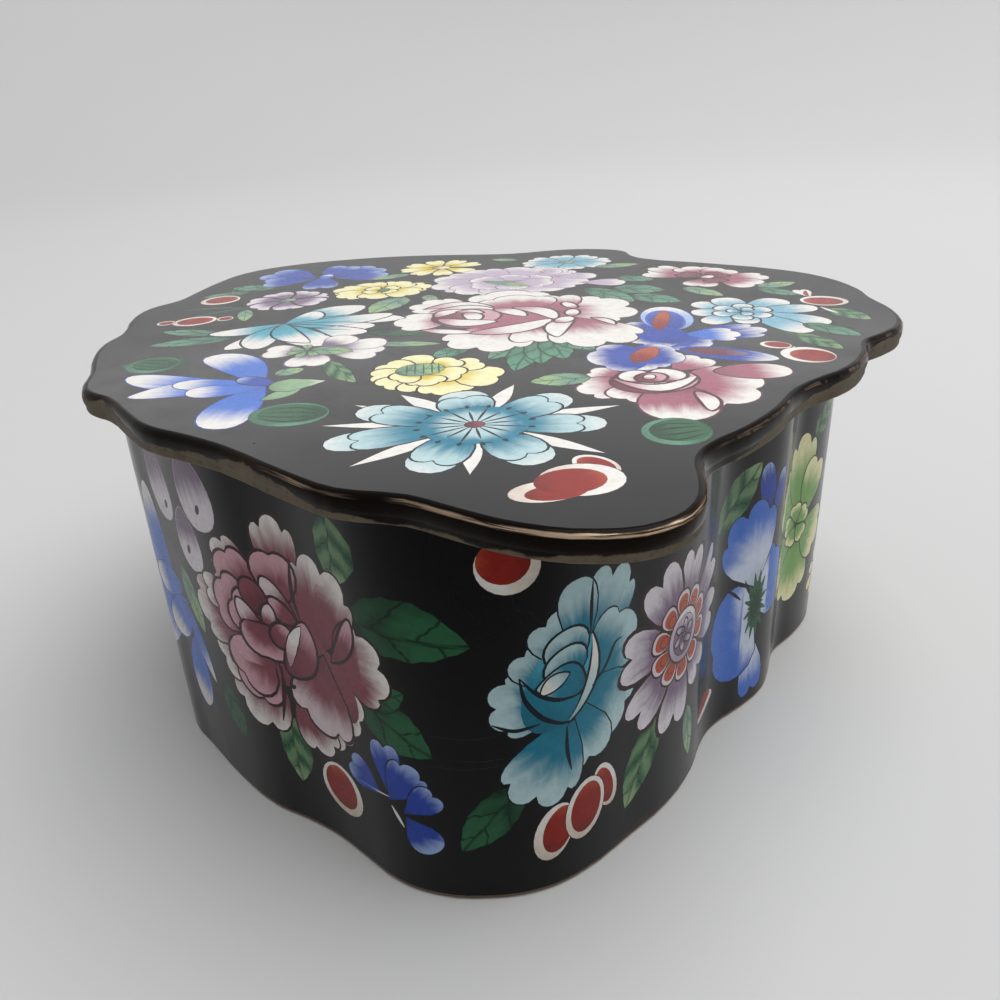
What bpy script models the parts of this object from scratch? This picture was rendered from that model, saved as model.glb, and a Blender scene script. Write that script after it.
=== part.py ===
"""Enamel trinket box: a lobed, straight-walled copper body with a lift-off lid that overhangs it.

Run with: blender --background --python part.py
Lengths are in metres and +Z is up. The box stands on z = 0, under the middle of its lid.
"""

import bpy
import bmesh
from mathutils import Vector

# Driving sizes of the whole box
BOX_WIDTH = 0.110
BOX_DEPTH = 0.1125
BOX_HEIGHT = 0.0515

# Sheet copper with enamel fired on both faces
BODY_WALL = 0.0018
LID_SHEET = 0.0016

# The lid's turned-down rim, its low crown and the collar that keeps it in place
RIM_HEIGHT = 0.0030
LID_CROWN = 0.0008
COLLAR_WALL = 0.0012
COLLAR_DEPTH = 0.0045

# Fits between the two pieces
SEAT_GAP = 0.0003
COLLAR_CLEARANCE = 0.0006

# Rounded edges
RIM_ROUND = 0.0007
BODY_ROUND = 0.0006
ROUND_STEPS = 2
ROUND_ANGLE = 0.9

# Steps in each span of an outline, and the rings of the crowned lid as (share of reach, share of rise)
SPAN_STEPS = 3
CROWN_RINGS = ((0.55, 1.0),)

# Edge of the lid seen from above, clockwise from the left front corner, with the left and the right
# tip at -1 and 1 across, and the front and the back at -1 and 1 in depth
LID_EDGE = (
    (-0.90, -0.26), (-0.93, -0.14), (-0.97, -0.02), (-0.987, 0.09), (-0.973, 0.178),
    (-1.00, 0.34), (-0.985, 0.44), (-0.928, 0.515), (-0.905, 0.60), (-0.87, 0.73),
    (-0.81, 0.855), (-0.685, 0.942), (-0.455, 0.997), (-0.255, 1.00), (-0.07, 0.972),
    (0.075, 0.953), (0.255, 0.981), (0.38, 0.96), (0.455, 0.91), (0.47, 0.83),
    (0.502, 0.773), (0.655, 0.68), (0.87, 0.535), (0.957, 0.427), (0.998, 0.275),
    (0.993, 0.187), (1.00, 0.053), (0.964, -0.075), (0.89, -0.153), (0.836, -0.196),
    (0.807, -0.267), (0.736, -0.366), (0.636, -0.441), (0.589, -0.484), (0.527, -0.572),
    (0.445, -0.658), (0.364, -0.725), (0.335, -0.772), (0.324, -0.85), (0.298, -0.928),
    (0.233, -0.985), (0.138, -1.00), (0.018, -0.969), (-0.082, -0.91), (-0.155, -0.862),
    (-0.273, -0.825), (-0.364, -0.756), (-0.51, -0.624), (-0.59, -0.567), (-0.687, -0.503),
    (-0.755, -0.421), (-0.824, -0.331), (-0.865, -0.30),
)

# Wall of the body in the same shares of the lid, so that the two stay together when a size changes
BODY_EDGE = (
    (-0.853, -0.196), (-0.82, -0.268), (-0.775, -0.32), (-0.655, -0.459), (-0.555, -0.551),
    (-0.475, -0.597), (-0.398, -0.649), (-0.322, -0.718), (-0.255, -0.777), (-0.171, -0.816),
    (-0.064, -0.83), (0.042, -0.818), (0.127, -0.78), (0.244, -0.688), (0.345, -0.599),
    (0.42, -0.498), (0.46, -0.416), (0.502, -0.359), (0.595, -0.288), (0.669, -0.219),
    (0.705, -0.151), (0.742, -0.069), (0.816, 0.002), (0.876, 0.073), (0.913, 0.151),
    (0.927, 0.258), (0.898, 0.382), (0.809, 0.491), (0.627, 0.612), (0.464, 0.711),
    (0.405, 0.775), (0.385, 0.841), (0.318, 0.889), (0.182, 0.905), (0.055, 0.88),
    (-0.091, 0.896), (-0.273, 0.924), (-0.455, 0.921), (-0.636, 0.878), (-0.745, 0.80),
    (-0.793, 0.684), (-0.836, 0.551), (-0.864, 0.489), (-0.913, 0.40), (-0.92, 0.302),
    (-0.898, 0.187), (-0.909, 0.089), (-0.895, -0.018), (-0.873, -0.11),
)


def clear_scene():
    """Removes every object that the file opened with."""
    for old in list(bpy.data.objects):
        bpy.data.objects.remove(old, do_unlink=True)


def new_collection(name, hidden=False):
    """Makes a collection, left out of the render where it holds only helpers."""
    collection = bpy.data.collections.new(name)
    collection.hide_render = hidden
    bpy.context.scene.collection.children.link(collection)
    return collection


def finish(name, color, roughness, metallic):
    """Makes a plain Principled material for one piece."""
    material = bpy.data.materials.new(name)
    material.use_nodes = True
    shader = material.node_tree.nodes["Principled BSDF"]
    shader.inputs["Base Color"].default_value = (*color, 1.0)
    shader.inputs["Roughness"].default_value = roughness
    shader.inputs["Metallic"].default_value = metallic
    return material


def outline_loop(name, edge, guides):
    """Draws a smooth closed curve through the shares in edge and returns it as a flat loop mesh."""
    curve = bpy.data.curves.new(name, "CURVE")
    curve.dimensions = "2D"
    curve.fill_mode = "NONE"
    curve.resolution_u = SPAN_STEPS
    spline = curve.splines.new("BEZIER")
    spline.bezier_points.add(len(edge) - 1)
    spline.use_cyclic_u = True
    for point, (across, deep) in zip(spline.bezier_points, edge):
        point.co = (across * BOX_WIDTH / 2, deep * BOX_DEPTH / 2, 0.0)
        point.handle_left_type = "AUTO"
        point.handle_right_type = "AUTO"
    guide = bpy.data.objects.new(name, curve)
    guide.hide_render = True
    guides.objects.link(guide)
    bpy.context.view_layer.update()
    evaluated = guide.evaluated_get(bpy.context.evaluated_depsgraph_get())
    return bpy.data.meshes.new_from_object(evaluated)


def loop_in_order(bm):
    """Returns the vertices of a single closed edge loop, walked round once, anticlockwise."""
    start = bm.verts[0]
    walk = [start]
    edge = start.link_edges[0]
    vert = edge.other_vert(start)
    while vert is not start:
        walk.append(vert)
        edge = next(other for other in vert.link_edges if other is not edge)
        vert = edge.other_vert(vert)
    area = sum(a.co.x * b.co.y - b.co.x * a.co.y for a, b in zip(walk, walk[1:] + walk[:1]))
    return walk if area > 0 else walk[::-1]


def inset_loop(bm, distance):
    """Moves a flat loop inwards by a true distance, measured square to its two neighbouring sides."""
    walk = loop_in_order(bm)
    moved = []
    for index, vert in enumerate(walk):
        before = (vert.co - walk[index - 1].co).normalized()
        after = (walk[(index + 1) % len(walk)].co - vert.co).normalized()
        along = (before + after).normalized()
        inward = Vector((-along.y, along.x, 0.0))
        half_turn_cosine = max(along.dot(after), 0.5)
        moved.append(vert.co + inward * distance / half_turn_cosine)
    for vert, place in zip(walk, moved):
        vert.co = place


def start_loop(loop_mesh, height, inset=0.0):
    """Starts a bmesh from a flat loop, at a height and moved inwards."""
    bm = bmesh.new()
    bm.from_mesh(loop_mesh)
    bm.verts.ensure_lookup_table()
    if inset:
        inset_loop(bm, inset)
    bmesh.ops.translate(bm, verts=bm.verts[:], vec=(0.0, 0.0, height))
    return bm


def extrude_edges(bm, edges, rise):
    """Extrudes edges straight up or down."""
    grown = bmesh.ops.extrude_edge_only(bm, edges=edges)["geom"]
    verts = [item for item in grown if isinstance(item, bmesh.types.BMVert)]
    bmesh.ops.translate(bm, verts=verts, vec=(0.0, 0.0, rise))


def add_object(name, bm, collection, material=None):
    """Turns a bmesh into a named object."""
    mesh = bpy.data.meshes.new(name)
    bm.to_mesh(mesh)
    bm.free()
    piece = bpy.data.objects.new(name, mesh)
    if material:
        mesh.materials.append(material)
    collection.objects.link(piece)
    return piece


def add_wall(piece, thickness):
    """Gives an open surface its thickness, all of it on the inner side."""
    modifier = piece.modifiers.new("sheet", "SOLIDIFY")
    modifier.thickness = thickness
    modifier.offset = -1.0
    modifier.use_even_offset = True


def add_round(piece, width):
    """Rounds every sharp edge."""
    modifier = piece.modifiers.new("rounded_edges", "BEVEL")
    modifier.width = width
    modifier.segments = ROUND_STEPS
    modifier.limit_method = "ANGLE"
    modifier.angle_limit = ROUND_ANGLE


def add_union(piece, other):
    """Joins another closed solid to this one."""
    modifier = piece.modifiers.new("soldered_" + other.name, "BOOLEAN")
    modifier.operation = "UNION"
    modifier.solver = "EXACT"
    modifier.object = other


def make_body(loop_mesh, parts, material):
    """Makes the open body: a flat floor, and a wall that ends just under the lid's sheet."""
    bm = start_loop(loop_mesh, 0.0)
    rim = bm.edges[:]
    bmesh.ops.edgeloop_fill(bm, edges=rim)
    extrude_edges(bm, rim, BOX_HEIGHT - LID_SHEET - SEAT_GAP)
    bmesh.ops.recalc_face_normals(bm, faces=bm.faces[:])
    if next(face for face in bm.faces if len(face.verts) > 4).normal.z > 0:
        bmesh.ops.reverse_faces(bm, faces=bm.faces[:])
    body = add_object("box_body", bm, parts, material)
    add_wall(body, BODY_WALL)
    add_round(body, BODY_ROUND)
    return body


def make_collar(loop_mesh, helpers):
    """Makes the ring under the lid that drops inside the body's mouth."""
    top = BOX_HEIGHT - LID_SHEET / 2
    bottom = BOX_HEIGHT - LID_SHEET - SEAT_GAP - COLLAR_DEPTH
    bm = start_loop(loop_mesh, bottom, BODY_WALL + COLLAR_CLEARANCE)
    extrude_edges(bm, bm.edges[:], top - bottom)
    bmesh.ops.recalc_face_normals(bm, faces=bm.faces[:])
    side = bm.faces[0]
    if side.normal.dot(side.calc_center_median() * Vector((1.0, 1.0, 0.0))) < 0:
        bmesh.ops.reverse_faces(bm, faces=bm.faces[:])
    collar = add_object("collar", bm, helpers)
    collar.hide_render = True
    collar.display_type = "WIRE"
    add_wall(collar, COLLAR_WALL)
    return collar


def make_lid(loop_mesh, collar, parts, material):
    """Makes the lid: a low crowned sheet with a turned-down rim, and the collar soldered under it."""
    bm = start_loop(loop_mesh, BOX_HEIGHT)
    rim = bm.edges[:]
    crown = bmesh.ops.edgeloop_fill(bm, edges=rim)["faces"]
    extrude_edges(bm, rim, -RIM_HEIGHT)
    reach = 1.0
    rise = 0.0
    for ring_reach, ring_rise in CROWN_RINGS:
        grown = bmesh.ops.extrude_face_region(bm, geom=crown)["geom"]
        bmesh.ops.delete(bm, geom=crown, context="FACES_ONLY")
        crown = [item for item in grown if isinstance(item, bmesh.types.BMFace)]
        verts = [item for item in grown if isinstance(item, bmesh.types.BMVert)]
        share = ring_reach / reach
        bmesh.ops.scale(bm, verts=verts, vec=(share, share, 1.0))
        bmesh.ops.translate(bm, verts=verts, vec=(0.0, 0.0, (ring_rise - rise) * LID_CROWN))
        reach = ring_reach
        rise = ring_rise
    bmesh.ops.recalc_face_normals(bm, faces=bm.faces[:])
    if next(face for face in bm.faces if len(face.verts) > 4).normal.z < 0:
        bmesh.ops.reverse_faces(bm, faces=bm.faces[:])
    lid = add_object("lid", bm, parts, material)
    add_wall(lid, LID_SHEET)
    add_round(lid, RIM_ROUND)
    add_union(lid, collar)
    return lid


def main():
    """Builds the two pieces."""
    clear_scene()
    parts = new_collection("parts")
    helpers = new_collection("helpers", hidden=True)
    lid_loop = outline_loop("lid_outline", LID_EDGE, helpers)
    body_loop = outline_loop("body_outline", BODY_EDGE, helpers)
    make_body(body_loop, parts, finish("body_enamel", (0.012, 0.014, 0.016), 0.22, 0.0))
    collar = make_collar(body_loop, helpers)
    make_lid(lid_loop, collar, parts, finish("lid_enamel", (0.012, 0.014, 0.016), 0.18, 0.0))


main()
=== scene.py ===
"""Looks of the enamel trinket box: a lobed copper box and its lift-off lid, with flowers on black enamel.

The painting is laid flat into the surface. Petals, leaves and lines are drawn as shapes in millimetres, on
the lid in plan and on the wall as if it were unrolled, and the shapes are then cut into the surface's own
mesh, the topmost one winning.
"""
import logging
import math
from dataclasses import dataclass
from enum import Enum, IntEnum
from typing import Callable, Iterable, Sequence

import bmesh
import bpy
import numpy as np
from mathutils import Matrix, Vector
from mathutils.geometry import delaunay_2d_cdt


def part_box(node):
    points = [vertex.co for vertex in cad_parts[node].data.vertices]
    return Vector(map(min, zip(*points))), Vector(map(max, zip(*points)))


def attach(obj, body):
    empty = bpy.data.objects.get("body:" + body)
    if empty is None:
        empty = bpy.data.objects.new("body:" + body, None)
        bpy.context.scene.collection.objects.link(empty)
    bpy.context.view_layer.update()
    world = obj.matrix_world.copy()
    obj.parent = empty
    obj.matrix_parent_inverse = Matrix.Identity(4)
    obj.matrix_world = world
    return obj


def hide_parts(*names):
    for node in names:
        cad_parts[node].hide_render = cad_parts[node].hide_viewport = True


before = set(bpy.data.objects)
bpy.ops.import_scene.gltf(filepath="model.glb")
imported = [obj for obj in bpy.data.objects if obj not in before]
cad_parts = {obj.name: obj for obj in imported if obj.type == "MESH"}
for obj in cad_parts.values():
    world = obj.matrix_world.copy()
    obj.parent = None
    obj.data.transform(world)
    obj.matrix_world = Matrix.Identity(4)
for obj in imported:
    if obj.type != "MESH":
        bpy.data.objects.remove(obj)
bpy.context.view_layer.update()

log = logging.getLogger("trinket_box")
MM = 0.001
WALL_LEVEL = 25.0  # a height at which the cut meets only the wall, mm
Spot = Sequence[float]
Socket = bpy.types.NodeSocket


class Paint(Enum):
    """Enamel colours of the painting, as the painter's pots."""

    GROUND = "08090b"
    WHITE = "f0ece6"
    CREAM = "e6d9cc"
    PETAL = "e0cdd2"
    ROSE = "86424f"
    PINK = "a65f72"
    ROSE_DEEP = "6b2c3a"
    BLUSH = "d2a3ac"
    TEAL = "207d97"
    TURQUOISE = "4fa9bd"
    AQUA = "bad6da"
    COBALT = "2646a8"
    BLUE = "4a68c4"
    AZURE = "4474d2"
    SKY = "a5bbe6"
    PALE_SKY = "d3dcf0"
    MAUVE = "7f6a84"
    LILAC = "c3b2c6"
    LEAF_DARK = "123c25"
    LEAF = "28603f"
    LEAF_DEEP = "1f5136"
    LEAF_LIGHT = "98b785"
    FERN = "3f7058"
    CELADON = "8fb08a"
    ICE_BLUE = "7fb6cc"
    SAGE = "6f9484"
    TEAL_LEAF = "5e9479"
    LIME = "7fae5c"
    RED = "93241b"
    ORANGE = "b4502f"
    YELLOW = "e3c93c"
    LEMON = "f8f2bc"
    LINE = "30151b"
    LINE_ROSE = "56303a"
    LINE_BLUE = "0d1c28"
    LINE_GREEN = "0a1f14"
    POD = "e2dbe2"
    BLOOM = "14181c"
    WORN = "2c241d"

    def linear(self) -> tuple[float, float, float]:
        """The colour in linear light."""
        parts = [int(self.value[i : i + 2], 16) / 255 for i in (0, 2, 4)]
        return tuple(p / 12.92 if p <= 0.04045 else ((p + 0.055) / 1.055) ** 2.4 for p in parts)


class LidSlot(IntEnum):
    """The lid's materials, in their order on the mesh."""

    PAINTING = 0
    RIM = 1
    UNDERSIDE = 2


class BodySlot(IntEnum):
    """The body's materials, in their order on the mesh."""

    PAINTING = 0
    INSIDE = 1
    UNDERSIDE = 2
    COPPER = 3


@dataclass(frozen=True)
class Coat:
    """How a shape is painted: colour at its root, colour at its tip, and colour and width of its line."""

    ink: Paint
    glow: Paint
    line: Paint = Paint.LINE
    turn: float = 0.6
    streak: float = 0.24
    vein: float = 0.0
    width: float = 0.2

    @classmethod
    def flat(cls, paint: Paint) -> "Coat":
        """One paint all over, with no brush streaks and no line."""
        return cls(paint, paint, paint, streak=0.0, width=0.0)


ROSE = Coat(Paint.ROSE, Paint.WHITE, turn=0.84, width=0.3)
ROSE_TIP = Coat(Paint.ROSE, Paint.PETAL, turn=0.74, width=0.42)
ROSE_INNER = Coat(Paint.ROSE, Paint.BLUSH, turn=0.74, width=0.42)
ROSE_CURL = Coat(Paint.ROSE, Paint.PETAL, turn=0.66, width=0.34)
ROSE_SOFT = Coat(Paint.BLUSH, Paint.WHITE, turn=0.45)
ROSE_PALE = Coat(Paint.ROSE, Paint.BLUSH, turn=0.5, width=0.0)
ROSE_HEART = Coat(Paint.ROSE_DEEP, Paint.ROSE, turn=0.62, width=0.36)
PINK = Coat(Paint.PINK, Paint.WHITE, Paint.LINE_ROSE, turn=0.74, width=0.28)
PINK_WIDE = Coat(Paint.PINK, Paint.WHITE, Paint.LINE_ROSE, turn=0.55, width=0.28)
PINK_CURL = Coat(Paint.BLUSH, Paint.WHITE, Paint.LINE_ROSE, turn=0.35, streak=0.16, width=0.42)
PINK_INNER = Coat(Paint.PINK, Paint.WHITE, Paint.LINE_ROSE, turn=0.6, width=0.46)
PINK_HEART = Coat(Paint.ROSE, Paint.BLUSH, Paint.LINE_ROSE, turn=0.6, width=0.4)
TURQUOISE = Coat(Paint.TEAL, Paint.AQUA, Paint.LINE_BLUE, turn=0.72)
TURQUOISE_PALE = Coat(Paint.TURQUOISE, Paint.WHITE, Paint.LINE_BLUE, turn=0.64, width=0.34)
TURQUOISE_CURL = Coat(Paint.TEAL, Paint.AQUA, Paint.LINE_BLUE, turn=0.78, width=0.3)
STAR = Coat(Paint.TEAL, Paint.AQUA, Paint.LINE_BLUE, turn=0.76, width=0.26)
STAR_FOLD = Coat(Paint.AQUA, Paint.WHITE, Paint.LINE_BLUE, turn=1.0, streak=0.1, width=0.2)
STAR_DISC = Coat(Paint.AQUA, Paint.TEAL, Paint.LINE_BLUE, turn=0.72, streak=0.1, width=0.0)
COBALT = Coat(Paint.COBALT, Paint.SKY, Paint.LINE_BLUE, turn=0.9, width=0.16)
COBALT_WHITE = Coat(Paint.AZURE, Paint.WHITE, Paint.COBALT, turn=0.76, streak=0.16, width=0.16)
ORCHID = Coat(Paint.COBALT, Paint.WHITE, Paint.COBALT, turn=0.88, width=0.12)
POPPY = Coat(Paint.PALE_SKY, Paint.AZURE, Paint.LINE_BLUE, turn=0.68, width=0.16)
MAUVE = Coat(Paint.MAUVE, Paint.POD, turn=0.74, width=0.56)
MAUVE_POD = Coat(Paint.MAUVE, Paint.POD, Paint.LILAC, turn=0.56, width=0.1)
LAVENDER = Coat(Paint.LILAC, Paint.WHITE, Paint.MAUVE, turn=0.86, width=0.2)
LILAC = Coat(Paint.MAUVE, Paint.WHITE, Paint.MAUVE, turn=0.55, width=0.2)
YELLOW = Coat(Paint.YELLOW, Paint.LEMON, turn=0.56, width=0.28)
SCALLOP = Coat(Paint.ORANGE, Paint.ORANGE, width=0.0)
WHITE_TIP = Coat.flat(Paint.WHITE)
ICE = Coat(Paint.ICE_BLUE, Paint.WHITE, Paint.LINE_BLUE, turn=0.78, width=0.3)
LEAF = Coat(Paint.LEAF_DARK, Paint.LEAF, Paint.LINE_GREEN, turn=0.5, vein=1.0, width=0.12)
LEAF_PAD = Coat(Paint.LEAF_DEEP, Paint.LEAF, Paint.LEAF_DEEP, turn=0.4, width=0.1)
PAD_EDGE = Coat(Paint.TEAL_LEAF, Paint.FERN, Paint.LEAF_DEEP, turn=0.6, width=0.1)
CALYX = Coat(Paint.CELADON, Paint.WHITE, Paint.LEAF_DARK, turn=0.9, width=0.16)
LEAF_FRESH = Coat(Paint.LEAF, Paint.LEAF_LIGHT, Paint.LINE_GREEN, turn=0.9, vein=0.8, width=0.12)
LEAF_SAGE = Coat(Paint.SAGE, Paint.LEAF_LIGHT, Paint.LINE_GREEN, turn=0.6, vein=0.7, width=0.1)
LEAF_TEAL = Coat(Paint.FERN, Paint.TEAL_LEAF, Paint.LINE_GREEN, turn=0.6, vein=0.9, width=0.2)
LIME = Coat(Paint.LIME, Paint.LEMON, Paint.LEAF_DARK, turn=0.78, width=0.26)
BERRY_RIM = Coat(Paint.CREAM, Paint.WHITE, Paint.LINE, turn=0.5, streak=0.1, width=0.1)
BERRY = Coat(Paint.RED, Paint.ORANGE, Paint.RED, turn=0.95, width=0.0)
RED_PATCH = Coat(Paint.RED, Paint.ORANGE, Paint.ROSE_DEEP, width=0.14)
DARK = Coat.flat(Paint.LINE)
DARK_BLUE = Coat.flat(Paint.LINE_BLUE)
STEM = Coat.flat(Paint.LEAF)
RIB = Coat.flat(Paint.LINE_GREEN)
BLOOM = Coat.flat(Paint.BLOOM)
WORN = Coat.flat(Paint.WORN)


@dataclass(frozen=True)
class Patch:
    """One flat painted shape: its edge, and the frame along which its colours run."""

    edge: np.ndarray
    root: Spot
    tip: Spot
    spread: float
    fan: bool
    coat: Coat
    seed: float


def aim(angle: float, squash: float = 1.0) -> np.ndarray:
    """The direction at so many degrees, squeezed up and down by squash."""
    return np.array([math.cos(math.radians(angle)), math.sin(math.radians(angle)) * squash])


def stretched(root: Spot, tip: Spot, grow: float) -> tuple[Spot, Spot]:
    """A line's two ends, each moved outwards by so many mm."""
    way = np.subtract(tip, root) * (grow / math.dist(root, tip))
    return root - way, tip + way


def turned(root: Spot, tip: Spot, along: np.ndarray, across: np.ndarray) -> np.ndarray:
    """Turns places along a line into points of the drawing.

    Args:
        root: The line's start, mm.
        tip: The line's end, mm.
        along: How far along the line each point is, mm.
        across: How far to its left, mm.

    Returns:
        The points.
    """
    way = np.subtract(tip, root)
    way = way / np.hypot(*way)
    side = np.array([-way[1], way[0]])
    return np.asarray(root) + along[:, None] * way + across[:, None] * side


def fan_edge(root: Spot, tip: Spot, width: float, scallops: int, depth: float) -> tuple[np.ndarray, float]:
    """Edge of a petal that opens like a fan, with scallops at its outer end.

    Args:
        root: Where the petal grows from, mm.
        tip: Its outermost point, mm.
        width: Its greatest width, mm.
        scallops: How many scallops the outer end has.
        depth: How deep they are, as a share of the length.

    Returns:
        The edge's points, and the half angle that the petal spans.
    """
    reach = math.dist(root, tip)
    half = math.asin(min(0.98, 0.69 * width / reach)) / 0.8
    steps = max(16, scallops * 7)
    share = np.linspace(-1, 1, steps + 1)[:-1]
    swell = (1 - np.abs(share) ** 3) ** 0.45
    bite = 1 - depth * (1 - np.abs(np.sin(math.pi * scallops * (share + 1) / 2)) ** 0.6)
    radius = reach * swell * bite
    angle = half * share
    edge = turned(root, tip, radius * np.cos(angle), radius * np.sin(angle))
    return edge, half


def blade_edge(
    root: Spot, tip: Spot, width: float, root_power: float, tip_power: float, bend: float, teeth: int
) -> np.ndarray:
    """Edge of a long shape such as a leaf.

    Args:
        root: Its start, mm.
        tip: Its end, mm.
        width: Its greatest width, mm.
        root_power: 0.5 for a round start, 1 or more for a pointed one.
        tip_power: The same for the end.
        bend: How far the middle line bows sideways, mm.
        teeth: How many teeth each side has.

    Returns:
        The edge's points.
    """
    reach = math.dist(root, tip)
    count = 13 if not teeth else max(13, 3 * teeth)
    share = 0.5 - 0.5 * np.cos(np.linspace(0, math.pi, count))
    top = root_power / (root_power + tip_power)
    peak = top**root_power * (1 - top) ** tip_power
    half = width / 2 * share**root_power * (1 - share) ** tip_power / peak
    if teeth:
        half = half * (1 - 0.12 * ((share * teeth) % 1.0))
    middle = 4 * bend * share * (1 - share)
    there = turned(root, tip, share * reach, middle + half)
    back = turned(root, tip, share * reach, middle - half)[::-1]
    return np.vstack([there, back[1:-1]])


class Brush:
    """Draws petals, leaves and whole flowers as patches, in the order in which they are painted."""

    def __init__(self) -> None:
        """Starts with nothing drawn."""
        self.patches: list[Patch] = []

    def lay(self, edge: np.ndarray, root: Spot, tip: Spot, spread: float, fan: bool, coat: Coat) -> None:
        """Adds one shape on top of what is there."""
        seed = (len(self.patches) * 0.618) % 1.0
        self.patches.append(Patch(edge, tuple(root), tuple(tip), spread, fan, coat, seed))

    def outline(self, coat: Coat) -> Coat:
        """The coat of the dark line round a shape."""
        return Coat(coat.line, coat.line, coat.line, streak=0.0, turn=0.5)

    def fan(
        self, root: Spot, tip: Spot, width: float, scallops: int = 3, coat: Coat = ROSE, depth: float = 0.12
    ) -> None:
        """A fan petal with its line.

        Args:
            root: Where it grows from, mm.
            tip: Its outermost point, mm.
            width: Its greatest width, mm.
            scallops: How many scallops its end has.
            coat: Its paint.
            depth: How deep the scallops are, as a share of its length.
        """
        if coat.width:
            back, out = stretched(root, tip, coat.width)
            edge, half = fan_edge(back, out, width + 2 * coat.width, scallops, depth)
            self.lay(edge, root, tip, half, True, self.outline(coat))
        edge, half = fan_edge(root, tip, width, scallops, depth)
        self.lay(edge, root, tip, half, True, coat)

    def blade(
        self, root: Spot, tip: Spot, width: float, coat: Coat = LEAF, ends: Spot = (0.7, 1.0),
        bend: float = 0.0, teeth: int = 0
    ) -> None:
        """A long shape with its line.

        Args:
            root: Its start, mm.
            tip: Its end, mm.
            width: Its greatest width, mm.
            coat: Its paint.
            ends: How pointed its start and its end are, 0.5 for round.
            bend: How far it bows sideways, mm.
            teeth: How many teeth each side has.
        """
        if coat.width:
            back, out = stretched(root, tip, coat.width)
            edge = blade_edge(back, out, width + 2 * coat.width, ends[0], ends[1], bend, teeth)
            self.lay(edge, root, tip, width / 2, False, self.outline(coat))
        self.lay(
            blade_edge(root, tip, width, ends[0], ends[1], bend, teeth), root, tip, width / 2, False, coat
        )

    def oval(self, centre: Spot, long: float, short: float, turn: float, coat: Coat) -> None:
        """An ellipse with its line, its long way turned by so many degrees."""
        way = aim(turn) * long / 2
        self.blade(centre - way, centre + way, short, coat, (0.5, 0.5))

    def stroke(self, points: Sequence[Spot], width: float, coat: Coat = DARK) -> None:
        """A brush line that swells in its middle and tapers to both ends.

        Args:
            points: The places that it runs by, mm.
            width: Its greatest width, mm.
            coat: Its paint.
        """
        spots = np.array(points, float)
        run = np.r_[0, np.cumsum(np.hypot(*np.diff(spots, axis=0).T))]
        share = np.linspace(0, 1, max(5, 4 * len(points)))
        fine = np.column_stack([np.interp(share * run[-1], run, spots[:, k]) for k in (0, 1)])
        for _ in range(4 if len(points) > 2 else 0):
            fine[1:-1] = (fine[:-2] + 2 * fine[1:-1] + fine[2:]) / 4
        way = np.gradient(fine, axis=0)
        side = np.column_stack([-way[:, 1], way[:, 0]]) / np.hypot(way[:, 0], way[:, 1])[:, None]
        half = (width / 2 * (0.25 + 0.75 * np.sin(math.pi * share)))[:, None]
        edge = np.vstack([fine + side * half, (fine - side * half)[::-1]])
        self.lay(edge, spots[0], spots[-1] + (1e-3, 0), width / 2, False, coat)

    def each(self, draw: Callable[..., None], rows: Iterable[tuple]) -> None:
        """Draws one shape for each row of its values, in their order."""
        for row in rows:
            draw(*row)

    def petals(self, rows: Iterable[tuple], coat: Coat) -> None:
        """Fan petals from a list of root x, root y, tip x, tip y, width and scallops."""
        for rx, ry, tx, ty, width, scallops in rows:
            self.fan((rx, ry), (tx, ty), width, scallops, coat)

    def ring(
        self, centre: Spot, angles: Iterable[float], inner: float, outer: float, width: float, scallops: int,
        coat: Coat, squash: float = 1.0, depth: float = 0.12
    ) -> None:
        """Petals round a centre.

        Args:
            centre: The middle, mm.
            angles: Where each petal points, degrees.
            inner: How far from the middle they start, mm.
            outer: How far they reach, mm.
            width: Each petal's width, mm.
            scallops: How many scallops each has.
            coat: Their paint.
            squash: The ring's height as a share of its width.
            depth: How deep the scallops are.
        """
        for angle in angles:
            way = aim(angle, squash)
            self.fan(centre + way * inner, centre + way * outer, width, scallops, coat, depth)

    def rosette(
        self, centre: Spot, radius: float, coat: Coat, heart: Coat, turn: float = 0.0, squash: float = 1.0
    ) -> None:
        """A many-petalled flower: outer fans, a ring of cups and a curled heart.

        Args:
            centre: The middle, mm.
            radius: Its radius, mm.
            coat: The petals' paint.
            heart: The heart's paint.
            turn: How far it is turned, degrees.
            squash: Its height as a share of its width.
        """
        for share, count, width, scallops, kind in (
            (1.0, 7, 0.78, 3, coat), (0.74, 6, 0.62, 3, coat), (0.5, 5, 0.5, 2, heart),
            (0.32, 3, 0.36, 2, coat)
        ):
            angles = [turn + share * 97 + 360 * k / count for k in range(count)]
            self.ring(centre, angles, 0.05 * radius, share * radius, width * radius, scallops, kind, squash)
        self.oval(centre, 0.26 * radius, 0.2 * radius, turn + 40, heart)

    def leaf(
        self, root: Spot, tip: Spot, width: float, coat: Coat = LEAF, bend: float = 0.0, teeth: int = 7
    ) -> None:
        """A leaf with teeth, darker at its edge, with a midrib line."""
        self.blade(root, tip, width, coat, (0.62, 0.85), bend, teeth)

    def berry(self, centre: Spot, long: float, short: float, turn: float, shift: Spot) -> None:
        """A red fruit with a thick cream rim, its red part shifted within the rim."""
        self.oval(centre, long, short, turn, BERRY_RIM)
        self.oval(np.add(centre, shift), long * 0.82, short * 0.78, turn, BERRY)

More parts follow.
